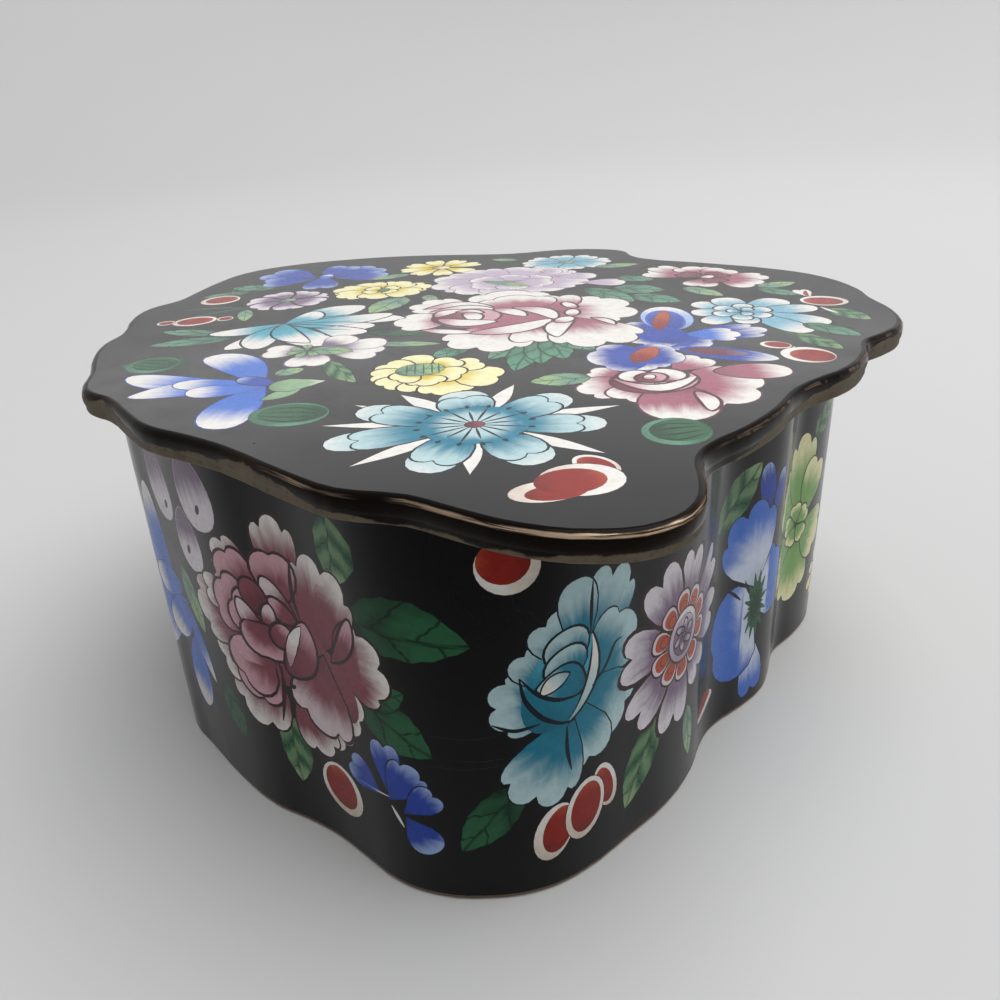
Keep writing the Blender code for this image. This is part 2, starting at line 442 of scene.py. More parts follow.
    def daisy(
        self, centre: Spot, radius: float, count: int, width: float, coat: Coat, heart: Coat,
        turn: float = 0.0, squash: float = 1.0
    ) -> None:
        """A flower of narrow round-ended petals.

        Args:
            centre: The middle, mm.
            radius: Its radius, mm.
            count: How many petals it has.
            width: Each petal's width, mm.
            coat: The petals' paint.
            heart: The heart's paint.
            turn: How far it is turned, degrees.
            squash: Its height as a share of its width.
        """
        for k in range(count):
            reach = radius * (1.0 if k % 2 else 0.9)
            way = aim(turn + 360 * k / count, squash)
            self.blade(centre + way * 0.08 * radius, centre + way * reach, width, coat, (0.9, 0.42))
        self.oval(centre, 0.32 * radius, 0.26 * radius, turn, heart)


class LidPainting(Brush):
    """The flowers on the lid, in millimetres from the box's middle, +y to the back."""

    def draw(self) -> list[Patch]:
        """Draws every motif, the far ones first.

        Returns:
            The patches in painting order.
        """
        self.far_flowers()
        self.left_side()
        self.right_side()
        self.big_peony()
        self.near_flowers()
        return self.patches

    def far_flowers(self) -> None:
        """The row along the back edge."""
        self.leaf((-40, 32), (-47, 29.5), 3.2, LEAF_TEAL)
        self.leaf((-36, 34), (-43.5, 35.5), 4.5, LEAF_TEAL)
        self.petals([
            (-30, 40, -39.6, 46, 9, 2), (-30, 39, -39.2, 38, 7, 2), (-27, 40, -19.5, 46.5, 8, 2),
            (-27, 39, -17.6, 40, 7, 3), (-29, 40, -25.5, 49.3, 6.5, 2), (-29, 41, -28.2, 31, 6, 2)
        ], COBALT)
        self.oval((-28.4, 40.5), 3.4, 2.2, 80, COBALT_WHITE)
        self.ring((-8.5, 43), [20, 62, 104, 146, 190, 232, 274, 318], 0.6, 7.4, 3.4, 2, YELLOW, 0.9)
        self.oval((-8.5, 43), 3, 2, 0, ROSE_SOFT)
        self.leaf((-14, 39), (-20, 36), 3, LEAF_SAGE)
        self.ring((13.5, 42.5), [5, 50, 95, 140, 185, 230, 275, 320], 0.6, 8, 4.4, 2, ICE, 0.8)
        self.oval((13.5, 42.5), 2.6, 2, 0, LEAF_SAGE)
        self.leaf((18, 37.5), (25.5, 38.5), 3.4, LEAF_SAGE)
        self.leaf((5, 46.5), (0.5, 48), 2.4, LEAF_SAGE)
        self.ring((-17.6, 27.6), [10, 62, 118, 165, 215, 268, 318], 0.5, 8.2, 6.2, 3, YELLOW, 0.74)
        self.ring((-17.6, 27.6), [40, 130, 220, 310], 0.3, 3.4, 2.6, 2, YELLOW, 0.8)
        self.oval((-17.2, 27.2), 2.6, 1.8, 80, LEAF_FRESH)
        self.leaf((-13.5, 21.5), (-17.8, 12.6), 5.4, LEAF_SAGE)
        self.leaf((-10.2, 22), (-8.6, 17.8), 2.4, LEAF_SAGE)
        self.ring(
            (3.2, 29.8), [8, 45, 82, 122, 160, 196, 232, 268, 305, 340], 1, 13.2, 9.4, 3, LAVENDER, 0.78
        )
        self.ring((3.2, 28.6), [25, 90, 150, 215, 280, 335], 0.6, 7.4, 6.2, 3, LAVENDER, 0.74)
        self.blade((-1.2, 30), (6.4, 24.6), 2.4, LEAF_SAGE, (0.7, 0.8))
        self.petals(
            [(10, 31, 17.3, 30.6, 4.6, 1), (14, 26, 21.2, 25, 4.8, 1), (8.5, 35.5, 12, 34.6, 4, 1)], LAVENDER
        )
        self.each(self.leaf, [
            ((19, 21), (26.2, 18.6), 6.2, LEAF_TEAL), ((21, 16), (27.2, 11), 5.2, LEAF_TEAL),
            ((15, 21.5), (20.6, 12), 5, LEAF_TEAL), ((20.5, 28.5), (26, 25.8), 4.2, LEAF_TEAL)
        ])
        self.petals([
            (33, 27, 25.2, 31.4, 6, 2), (33, 27, 27.6, 35.6, 5, 2), (34, 27, 33.4, 34.6, 6.4, 3),
            (34, 27, 39.2, 31.6, 6, 2), (35, 26, 43.9, 24.4, 6.4, 3), (36, 25, 41, 19.4, 6.4, 2),
            (34, 25, 31.6, 20, 5.4, 2)
        ], PINK)
        self.petals(
            [(34.5, 26.5, 30.6, 29.6, 4, 2), (34.5, 26.5, 37.8, 28.4, 4, 2), (34.8, 26, 35.6, 22.4, 3.6, 2)],
            ROSE_HEART
        )
        self.oval((34.6, 26.4), 2.4, 1.6, 30, ROSE_SOFT)
        self.each(self.leaf, [
            ((29.6, 19.8), (34, 13.6), 3.6, LEAF_SAGE), ((40.6, 18.4), (46.8, 20.6), 3.4, LEAF_SAGE),
            ((40.4, 17.6), (44.6, 12.6), 3.6, LEAF_TEAL)
        ])

    def left_side(self) -> None:
        """Fruits, the small mauve flower, the lotus, the iris spray and their leaves."""
        self.berry((-43.4, 27), 6.2, 5.6, 20, (0.2, 0.2))
        self.each(self.stroke, [
            ([(-43, 30), (-43, 34), (-41.6, 37)], 0.5, STEM),
            ([(-48, 21.6), (-42, 22), (-37.4, 20.4)], 0.7, STEM),
            ([(-45, 17), (-41, 19.6), (-37.4, 20.4)], 0.6, STEM)
        ])
        self.each(self.berry, [
            ((-44, 14.4), 6.4, 5, 10, (0.1, 0)), ((-48.2, 14.2), 2.6, 2.4, 10, (0.1, 0)),
            ((-39.6, 14.8), 2.4, 2.4, 10, (0.1, 0))
        ])
        self.each(self.leaf, [
            ((-37.6, 19.4), (-36.2, 12.6), 2.4, LEAF_SAGE), ((-38.6, 6.6), (-47.2, 9.4), 3.2, LEAF_TEAL),
            ((-36, 3.8), (-46.8, 2.4), 3.8, LEAF_TEAL)
        ])
        self.ring((-32, 24.2), [15, 65, 120, 178, 228, 282, 335], 0.4, 6.6, 5, 2, MAUVE, 0.95)
        self.oval((-32, 24.2), 2.4, 1.8, 30, LEAF_SAGE)
        self.leaf((-17.2, 2), (-8.6, 0.4), 2.8, LEAF)
        self.leaf((-15.6, -3.6), (-6.8, -5), 2.2, LEAF_SAGE)
        for tip, width in (
            ((-39.6, 6.2), 3.8), ((-35.4, -1.8), 4.6), ((-19.2, 17.4), 6.6), ((-12.4, 8.6), 5)
        ):
            self.blade((-28.6, 9.4), tip, width, TURQUOISE_PALE, (0.7, 0.6), 0.8)
        for tip, width in (
            ((-31.4, -2.4), 4.8), ((-26, 15.6), 4), ((-14.4, 11.4), 4.4), ((-16.4, 5.4), 5),
            ((-17.2, 2.4), 4.6), ((-21.4, -2.6), 5.4)
        ):
            self.blade((-29.6, 9), tip, width, TURQUOISE_PALE, (0.8, 0.55), -1)
        self.blade((-29.8, 9.6), (-24.4, -1), 3.6, TURQUOISE_PALE, (0.8, 0.8), -1.4)
        for tip in ((-17.6, 7.6), (-19.4, 4), (-22.4, 1.6)):
            self.stroke([(-29.2, 8.6), (-24.6, 5.8), tip], 0.3, DARK_BLUE)
        self.petals([
            (-24, -4.6, -29.9, -4, 5.2, 2), (-23, -5, -23.4, -11.4, 5.6, 2), (-22, -4.6, -14.2, -7.6, 5.6, 2),
            (-22, -3.8, -14, -2.8, 4.8, 1), (-22.4, -3, -18.8, 0.8, 4.8, 1)
        ], LILAC)
        self.leaf((-23.6, -4.2), (-18, -6.2), 3.4, LEAF_SAGE)
        self.ring((-24, -4.6), [100, 150, 200, 250, 300], 0.2, 2.6, 1.2, 1, LEAF_SAGE)
        self.leaf((-20.4, -9.8), (-16.2, -18.2), 3, LEAF_FRESH, -0.5)
        self.leaf((-39, -7.4), (-47.4, -6), 6.4, LEAF_PAD)
        self.pad((-43.4, -6.6), 6.8, 6.2, 160)
        self.iris_spray()
        self.pad((-22.2, -27.2), 8.6, 6.6, 172)

    def iris_spray(self) -> None:
        """Blue petals with white ends that meet in a pale green calyx."""
        self.each(self.blade, [
            ((-27.6, -17.2), (-45, -11.2), 4.6, COBALT_WHITE, (0.9, 0.5), 1),
            ((-27.6, -18), (-42.4, -18.6), 5, COBALT_WHITE, (0.9, 0.7), -1.6),
            ((-27.4, -17), (-36.4, -4.2), 5.6, COBALT_WHITE, (0.9, 0.42), -1.2),
            ((-27, -17.4), (-29.4, -30.2), 6.2, COBALT_WHITE, (0.8, 0.42), -0.6),
            ((-27.6, -17), (-38.2, -15), 3.6, COBALT_WHITE, (0.9, 0.5), 0),
            ((-26.6, -17.6), (-35.8, -18.2), 3.8, COBALT_WHITE, (0.9, 0.42), 0.4),
            ((-25.4, -17.4), (-30.6, -14.4), 2.6, COBALT, (0.8, 0.5), 0),
            ((-26.4, -13.6), (-23.2, -12), 2.6, LEAF_SAGE, (0.6, 0.8)),
            ((-26.2, -22.4), (-22.6, -17.4), 2.4, CALYX, (0.8, 0.8), -0.6),
            ((-26.2, -18.2), (-19.8, -17), 4.4, CALYX, (0.6, 1.2), 0, 3)
        ])

    def right_side(self) -> None:
        """The orchid, the blue daisy, the fruits and the second peony."""
        for tip, width in (
            ((28.8, 10), 4), ((27.4, 4.6), 3.8), ((28.2, -0.8), 3.8), ((33.4, 12.4), 4.6), ((41.6, 10.4), 5),
            ((45, 5.4), 4.2), ((44.2, -2.6), 4.8), ((40.2, -6.4), 4.4), ((33.6, -1.6), 3.4)
        ):
            self.blade((34.6, 4.4), tip, width, ICE, (0.9, 0.42))
        self.ring((34.4, 4.4), [15, 75, 135, 195, 255, 315], 0.3, 4.2, 2.8, 1, ICE)
        self.ring((34.4, 4.6), [45, 165, 285], 0.2, 2, 1.6, 1, ICE)
        self.each(self.leaf, [
            ((40.8, -2.4), (46, -8.6), 3.8, LEAF_TEAL), ((38.2, -6.8), (41.8, -13.6), 3.6, LEAF_FRESH),
            ((46.4, 4.6), (49.8, -1.6), 4, LEAF_FRESH)
        ])
        self.berry((47.2, 8.8), 6.6, 5.4, 165, (-0.2, -0.2))
        self.fan((46, 11), (45.8, 15.8), 2.6, 2, BERRY_RIM)
        self.stroke([(45.8, 11.4), (46, 13.4), (46.6, 15)], 0.7, Coat.flat(Paint.ROSE))
        self.stroke([(45.6, 5.6), (46.2, 3.4), (46.8, 2.2)], 0.6, BERRY_RIM)
        self.petals([
            (23, -6, 35.2, -4.4, 6, 3), (22, -6, 26.2, -11, 7.4, 3), (22, -5, 18, -9.4, 7, 2),
            (22.6, -4, 17.2, -0.2, 4.6, 1)
        ], ORCHID)
        self.fan((24, -5.6), (31.4, -6.2), 5.4, 3, COBALT_WHITE)
        self.each(self.oval, [
            ((23.6, 2.5), 11.8, 7, 86, Coat(Paint.SKY, Paint.WHITE, Paint.COBALT, turn=0.8, width=0.12)),
            ((23.2, 1.4), 9.6, 4.8, 86, Coat(Paint.COBALT, Paint.BLUE, Paint.BLUE, turn=0.8, width=0.3)),
            ((22, -5.4), 7.6, 5.6, 100, Coat(Paint.COBALT, Paint.COBALT, width=0.0))
        ])
        self.each(self.blade, [
            ((21.4, -3.2), (24, 6.2), 2, RED_PATCH, (0.6, 0.6)),
            ((22.6, -11.4), (33.2, -16.6), 4.4, ORCHID, (0.6, 0.6)),
            (
                (23.2, -11.8), (30.4, -14.4), 2.8,
                Coat(Paint.ROSE_DEEP, Paint.MAUVE, Paint.COBALT, turn=0.8, width=0.2), (0.6, 0.7)
            )
        ])
        self.stroke([(36.4, -12), (35.4, -14)], 0.4, BERRY_RIM)
        self.berry((34.4, -11.2), 3.8, 2.8, 155, (0.2, 0.1))
        self.berry((37, -15.4), 6.4, 5.8, 150, (0.4, -0.3))
        self.stroke([(36.8, -4.6), (37.6, -7), (39, -8.4)], 0.6, STEM)
        self.petals([
            (20, -19.6, 24.8, -15, 4.8, 2), (15, -21, 10.4, -18.8, 4.2, 2), (17, -22.6, 8.8, -24.6, 6.6, 3),
            (17, -23.2, 13.2, -28.2, 5.8, 2), (20, -23.2, 28.8, -26.6, 12.4, 4)
        ], PINK)
        self.each(self.blade, [
            ((24.8, -20.2), (33.4, -20.7), 5, PINK, (0.6, 0.45)),
            ((19.4, -24.6), (18.4, -34.2), 8.4, PINK, (0.5, 0.45)),
            ((21.4, -26.4), (21.8, -31.8), 1.8, PINK_CURL, (0.6, 0.6), 0.6)
        ])
        self.oval((17.6, -22.4), 9.6, 7.4, 8, PINK_HEART)
        self.blade((13.2, -21.4), (22.4, -21.6), 2.6, PINK_CURL, (0.7, 0.7), -2.9)
        self.blade((13.6, -21), (21.4, -20.8), 2, PINK_CURL, (0.7, 0.7), -1.5)
        self.fan((17.6, -23), (14.6, -19.4), 3.8, 1, PINK_INNER)
        self.fan((17.6, -23), (20.4, -19.2), 4.2, 1, PINK_INNER)
        self.oval((17.4, -21.4), 3.4, 2.8, 20, PINK_HEART)
        self.oval((17.2, -21.2), 1.6, 1.2, 60, ROSE_SOFT)
        self.each(self.fan, [
            ((17.6, -12.6), (17, -18.8), 6.4, 3, ORCHID), ((18.6, -13.6), (11, -14), 9.6, 3, ORCHID),
            ((16, -14), (22.6, -12.4), 7.6, 2, ORCHID)
        ])
        self.blade((16.4, -16), (19.6, -10.4), 2.8, RED_PATCH, (0.6, 0.6))
        self.leaf((10.6, -20.4), (3.8, -21.2), 4.2, LEAF_SAGE)
        self.pad((17.2, -36.8), 6.8, 6.6, 10)

    def pad(self, centre: Spot, long: float, short: float, turn: float) -> None:
        """A round leaf with bowed ribs.

        Args:
            centre: Its middle, mm.
            long: Its length, mm.
            short: Its width, mm.
            turn: How far its long way is turned, degrees.
        """
        self.oval(centre, long, short, turn, PAD_EDGE)
        self.oval((centre[0] + 0.35, centre[1] + 0.25), long * 0.86, short * 0.78, turn, LEAF_PAD)
        way = aim(turn)
        side = np.array([-way[1], way[0]])
        for bow in (-0.3, -0.1, 0.12, 0.3):
            ends = [
                tuple(centre + way * long * along + side * short * bow * height)
                for along, height in ((-0.38, 0.5), (-0.05, 1.1), (0.4, 0.6))
            ]
            self.stroke(ends, 0.3, RIB)

    def big_peony(self) -> None:
        """The large rose and white peony in the middle, with the leaves under it."""
        for root, tip in (
            ((5, -5), (-0.8, -12.4)), ((5, -6), (2.2, -17.2)), ((6, -5), (5.4, -15)), ((7, -5), (8.4, -13.6)),
            ((8, -4), (12.2, -10.6))
        ):
            self.leaf(root, tip, 4.4, LEAF_TEAL)
        self.leaf((-3.6, -7), (-7.6, -10.6), 3.6, LEAF_TEAL)
        self.petals([
            (3, 12, 2.4, 22.2, 12, 3), (-3, 11, -11.2, 16.8, 8.8, 4), (-5, 6, -13.8, 6.2, 8.6, 3),
            (2.4, 3, -2.8, -8.8, 12, 4), (5, 2.4, 4.8, -6.6, 5.6, 2), (7.4, 8, 20.4, 9.4, 14.4, 4),
            (10.8, 4.8, 14.6, -8.9, 12.4, 4)
        ], PINK_WIDE)
        self.oval((1.2, 8), 19, 14, 12, Coat(Paint.PINK, Paint.PINK, width=0.0))
        self.fan((10, 6.8), (10.2, 18), 6.2, 2, PINK)
        self.fan((4.4, 8.6), (3.2, 18.8), 11.4, 3, PINK)
        self.blade((-9.8, 12.8), (0, 12.2), 2.8, PINK_CURL, (0.7, 0.7), 2.2)
        self.blade((-8.8, 11), (1.2, 9.6), 2.2, PINK_CURL, (0.7, 0.8), 2.4)
        self.oval((-3.6, 7.4), 9.4, 8.4, 10, PINK_HEART)
        self.each(self.blade, [
            ((-8, 8.2), (-4.2, 11.4), 2.2, PINK_CURL, (0.6, 0.7), 0.8),
            ((-5, 10.4), (-1.4, 9.2), 1.6, PINK_CURL, (0.7, 0.7), 0.6),
            ((-3.6, 9.8), (-2.4, 5.2), 2.4, PINK_CURL, (0.6, 0.6), 0.3),
            ((-7.6, 6.6), (0.4, 4.2), 3, PINK_CURL, (0.6, 0.6), -1.2),
            ((0.4, 11), (4.6, 6.4), 2.4, PINK_CURL, (0.6, 0.7), 0.5),
            ((3.2, 11.4), (8.6, 4.4), 2.8, PINK_CURL, (0.6, 0.6), 1.4),
            ((-9.6, 1.8), (-2.6, -0.6), 1.8, PINK_CURL, (0.8, 0.8), -0.3),
            ((-3, -1), (8, 4), 3.4, PINK_CURL, (0.6, 0.6), -1.4),
            ((10.8, 4.4), (8.2, -4.4), 3, PINK_CURL, (0.6, 0.7), -1)
        ])
        for spot, long, short, turn in (
            ((11.2, 7.2), 3.4, 1.8, 80), ((9.8, 3.6), 3.2, 2.2, 50), ((11.2, 11.4), 3.6, 1.6, 110)
        ):
            self.oval(spot, long, short, turn, PINK_CURL)
        self.blade((13.6, 4), (16.2, 0.4), 1.2, PINK_CURL, (0.6, 0.6), 0.5)

    def near_flowers(self) -> None:
        """The yellow flower, the large star flower and the red fruits by the front edge."""
        self.petals([
            (-9, -15, -9.8, -9.4, 4.4, 1), (-9, -16, -13.6, -12, 4.8, 2), (-9, -16, -14.9, -16.6, 4.8, 2),
            (-9, -17, -13.2, -20.4, 4.6, 2), (-8, -18, -9.2, -22.8, 4.8, 2), (-6, -18, -5.4, -24, 6.2, 3),
            (-6, -17, 0.9, -19.2, 6.6, 2), (-6, -15, -1.4, -13.2, 4.6, 2), (-7, -14, -4.4, -11.8, 4.2, 2)
        ], YELLOW)
        self.petals(
            [(-8, -16, -3.6, -17.8, 5, 2), (-8.4, -17, -7.6, -20.6, 4.4, 3), (-9, -16, -11.6, -18.6, 4, 2)],
            YELLOW
        )
        self.oval((-8.9, -15), 5.8, 4.4, 10, LEAF_SAGE)
        for x in (-10.6, -9.6, -8.6, -7.6, -6.8):
            self.stroke([(x, -12.9), (x + 0.2, -16.8)], 0.24, STEM)
        self.star_flower((-2.4, -32.8))
        self.berry((8.6, -43.6), 5.2, 3.4, 130, (0, 0))
        self.each(self.oval, [
            ((3.8, -48.4), 6.8, 4, 10, BERRY_RIM), ((7, -46.4), 7.8, 6.4, 0, BERRY_RIM),
            ((4.6, -48.7), 5.6, 2.9, 10, BERRY), ((6, -46.6), 6.6, 4.9, 10, BERRY)
        ])

    def star_flower(self, centre: Spot) -> None:
        """Seven turquoise petals with folded pale tips, white spikes between them and a dotted disc.

        Args:
            centre: Its middle, mm.
        """
        cx, cy = centre
        for dx, dy, width in (
            (-15.8, 1.8, 1.5), (-11.6, -8.6, 1.9), (-0.4, -11.6, 2), (15.2, 3.4, 1.8), (12.2, -8.4, 1.9),
            (4.4, 11, 2), (-8.2, 9.6, 2.2), (-13, 7.2, 1.8)
        ):
            way = np.array([dx, dy]) / math.hypot(dx, dy)
            self.blade(centre + way * 3, (cx + dx, cy + dy), width, WHITE_TIP, (1.1, 1.3))
        for dx, dy, width in (
            (-14.8, -3.4, 5), (-5, -10.6, 5.6), (6.4, -9.8, 5.6), (13.2, -1.2, 4.8), (10, 6.8, 5.4),
            (-1.6, 9.6, 6), (-12.4, 5.6, 5.2)
        ):
            self.blade(centre, (cx + dx, cy + dy), width * 0.96, STAR_FOLD, (0.9, 0.42))
            self.fan(centre, (cx + dx * 0.85, cy + dy * 0.85), width, 2, STAR, 0.1)
        self.oval(centre, 11.6, 9.8, 0, DARK_BLUE)
        self.oval(centre, 11.2, 9.4, 0, Coat(Paint.TEAL, Paint.TEAL, width=0.0))
        self.ring(centre, [45 * k for k in range(8)], 0.1, 5.8, 5.6, 1, STAR_DISC, 0.83)
        for k in range(16):
            angle = math.radians(8 + 22.5 * k)
            reach = 5.4 if k % 2 else 4.4
            end = (cx + reach * math.cos(angle), cy + reach * 0.83 * math.sin(angle))
            self.stroke([(cx + 0.9 * math.cos(angle), cy + 0.8 * math.sin(angle)), end], 0.3, DARK_BLUE)
            self.oval(
                (cx + 5.9 * math.cos(angle), cy + 4.9 * math.sin(angle)), 0.8, 0.5, 8 + 22.5 * k, DARK_BLUE
            )
        self.oval(centre, 2, 1.6, 0, Coat(Paint.ROSE_DEEP, Paint.ROSE, width=0.1))


class WallPainting(Brush):
    """The flowers round the wall, in millimetres along the wall and up it, 0 at the middle of the front."""

    def __init__(self, half: float) -> None:
        """Takes how far it is from the middle of the front to the middle of the back, mm."""
        super().__init__()
        self.half = half

    def draw(self) -> list[Patch]:
        """Draws every motif.

        Returns:
            The patches in painting order.
        """
        self.left_flowers()
        self.rose_peony()
        self.front_sprigs()
        self.turquoise_peony()
        self.mauve_flower()
        self.right_flowers()
        self.hidden_side()
        return self.patches

    def left_flowers(self) -> None:
        """The mauve pods and the long blue petals of the left side."""
        for tip, width in (((-63.5, 22), 5), ((-62, 34.5), 5), ((-55.2, 40.4), 4), ((-60.5, 14.5), 5)):
            self.blade((-52.5, 28), tip, width, COBALT_WHITE, (0.8, 0.6), 0.8)
        self.each(self.blade, [
            ((-50, 27.4), (-57.6, 26.2), 4.8, COBALT_WHITE, (0.7, 0.5)),
            ((-49.4, 25.6), (-55.2, 18.6), 5.2, COBALT_WHITE, (0.7, 0.5)),
            ((-49.2, 20.4), (-50.8, 8.4), 5.6, COBALT_WHITE, (0.8, 0.6)),
            ((-50, 25), (-45.2, 15), 2.6, COBALT_WHITE, (0.7, 0.9))
        ])
        self.leaf((-48.4, 31), (-45.2, 22.6), 4, LEAF_SAGE)
        self.leaf((-42.8, 16.4), (-39.8, 9.2), 5, LEAF)
        for base, tip, width, seed in (
            ((-50.8, 46.8), (-48.9, 37.2), 5.8, (-48.6, 39.4)),
            ((-44.6, 40.4), (-43.5, 32.2), 5.5, (-44.4, 34.9)),
            ((-41.6, 48.2), (-39.3, 39), 7.4, (-39.8, 41.6))
        ):
            self.blade(base, tip, width, MAUVE_POD, (0.6, 0.42))
            self.oval(seed, 1.4, 0.8, 65, DARK)

    def rose_peony(self) -> None:
        """The large rose peony, outer petals first, then the bowl, then the curled heart."""
        self.each(self.leaf, [
            ((-18.6, 46.6), (-18.8, 38.8), 6.4, LEAF_FRESH, 0.6, 5),
            ((-30.6, 17), (-30.2, 6.8), 5.2, LEAF_FRESH, 0.3), ((-17.4, 26.4), (-8.6, 20.6), 6.6, LEAF),
            ((-16, 26), (-11, 28.4), 3.8, LEAF), ((-17.2, 35.6), (-3.8, 34.6), 7.6, LEAF, 1)
        ])
        self.petals([
            (-27.4, 32, -28.2, 43.9, 6.6, 3), (-23.4, 28.4, -20.6, 40.6, 10.2, 4),
            (-21.2, 28.6, -12.8, 31, 9.6, 4), (-24, 24.4, -16.9, 21.8, 6.6, 2),
            (-25.6, 22, -20.4, 16.6, 6, 2), (-28.6, 21.6, -24.4, 13.4, 7, 3),
            (-31.2, 25.6, -36.4, 14, 9.4, 3), (-33, 25.6, -41.4, 21, 6.6, 2),
            (-33, 29.4, -44.9, 27.4, 8.8, 3), (-33, 31.6, -42.2, 31, 4.6, 2), (-31, 32.6, -38.2, 38.4, 6.4, 3)
        ], ROSE)
        for centre, long, short in (((-29, 28.4), 15, 13), ((-21, 25.2), 9, 6)):
            self.oval(centre, long, short, 120, Coat(Paint.ROSE, Paint.ROSE, width=0.0))
        self.each(self.fan, [
            ((-22.6, 28.4), (-25, 16.8), 9.8, 3, ROSE_TIP, 0.12),
            ((-31, 26.6), (-36.8, 18.6), 8.8, 3, ROSE_INNER, 0.1),
            ((-31.4, 26.4), (-37.2, 20.2), 8, 2, ROSE_INNER, 0.1)
        ])
        self.blade((-30.4, 23.4), (-38.2, 24.8), 3.4, ROSE_PALE, (1.2, 0.6), -0.5)
        self.fan((-31.6, 31.6), (-38, 36.6), 7.6, 3, ROSE_INNER, 0.1)
        self.fan((-28.4, 32), (-29.2, 39.4), 6.6, 2, ROSE_INNER, 0.08)
        self.blade((-26.4, 30.8), (-31, 35.6), 3.2, ROSE_CURL, (0.7, 0.6), 0.5)
        self.blade((-26.6, 31), (-30.4, 33), 2.4, ROSE_INNER, (0.7, 0.6), 0.3)
        self.fan((-32.8, 29.2), (-39.6, 31.8), 8, 3, ROSE_INNER, 0.1)
        self.fan((-31.6, 28.4), (-36.6, 31.6), 6.2, 2, ROSE_INNER, 0.1)
        self.each(self.blade, [
            ((-31.4, 30.8), (-33.8, 34.8), 3.4, ROSE_HEART, (0.5, 0.5)),
            ((-31.6, 27.4), (-35.4, 31.8), 2.6, ROSE_CURL, (0.7, 0.6), 0.4),
            ((-31.2, 28), (-30.6, 32.2), 2, ROSE_CURL, (0.8, 0.6))
        ])
        self.fan((-31.8, 29.2), (-32, 24.4), 7, 2, ROSE_INNER, 0.08)
        self.oval((-29.3, 28.4), 3.5, 3, 40, ROSE_INNER)
        self.each(self.blade, [
            ((-28.9, 23.4), (-25.2, 31.4), 4.4, ROSE_INNER, (0.55, 0.6), -0.8),
            ((-28.8, 24.4), (-26, 30.8), 1.7, ROSE_SOFT, (0.8, 0.8), 0.5, 4),
            ((-21.2, 28.4), (-17.2, 35.2), 2, ROSE_INNER, (0.8, 0.6), -0.6)
        ])
        self.oval((-28.8, 21.6), 0.9, 0.6, 40, DARK)
        self.stroke([(-30.2, 24), (-30.8, 19), (-31.6, 15.6)], 0.6)
        self.stroke([(-25.8, 31.6), (-26.6, 35), (-26, 39.4)], 0.6)
        self.berry((-22.9, 9.3), 7.4, 7, 100, (-0.2, 0.2))
        self.fan((-15.6, 13.2), (-20.7, 15.4), 4.6, 2, COBALT)
        for root, tip, width, scallops in (
            ((-14.4, 13.6), (-14.4, 21.2), 4, 2), ((-14.4, 13), (-10.8, 18.8), 5, 3),
            ((-12.6, 11.8), (-8.5, 15.6), 3.8, 2), ((-12.4, 11.4), (-9.2, 6.9), 4.6, 1)
        ):
            self.fan(root, tip, width, scallops, COBALT)
        self.stroke([(-14.2, 12.2), (-12.8, 9.6)], 0.45, WHITE_TIP)
        self.stroke([(-20.2, 12.8), (-17.2, 13.3), (-14.4, 13.4)], 0.3, COBALT_WHITE)

    def front_sprigs(self) -> None:
        """The fruits and leaves of the front."""
        self.berry((0.2, 43.2), 6.4, 6, 170, (-0.4, 0.5))
        self.leaf((0.4, 16.4), (-6.2, 7.6), 5.2, LEAF)
        self.each(self.berry, [
            ((11.3, 11.6), 7, 3.4, 105, (-0.2, 0)), ((4.2, 8.6), 8, 4.8, 75, (0.5, 0.2)),
            ((8.3, 10), 8.4, 5.4, 80, (0.1, 0.1))
        ])
        self.leaf((19.8, 16.2), (14.8, 5.4), 5.6, LEAF_FRESH)
        self.leaf((27, 13), (28.6, 4.2), 3, LEAF_SAGE)
        for points in (
            [(-9, 23.6), (-4, 23.2), (-1, 23.7)], [(-9.6, 19.7), (-5, 19.2), (-1.2, 19.6)],
            [(-7, 20.6), (-3.4, 20.2), (-0.8, 20.7)]
        ):
            self.stroke(points, 0.22, BLOOM)
        for along, reach, width in ((12.4, 3.4, 0.9), (15.2, 4.6, 1.5), (19.6, 2.6, 0.8), (-34.6, 1.6, 0.6)):
            self.blade((along, 0.95), (along + reach, 1.05), width, WORN, (0.6, 0.9), 0.15, 5)

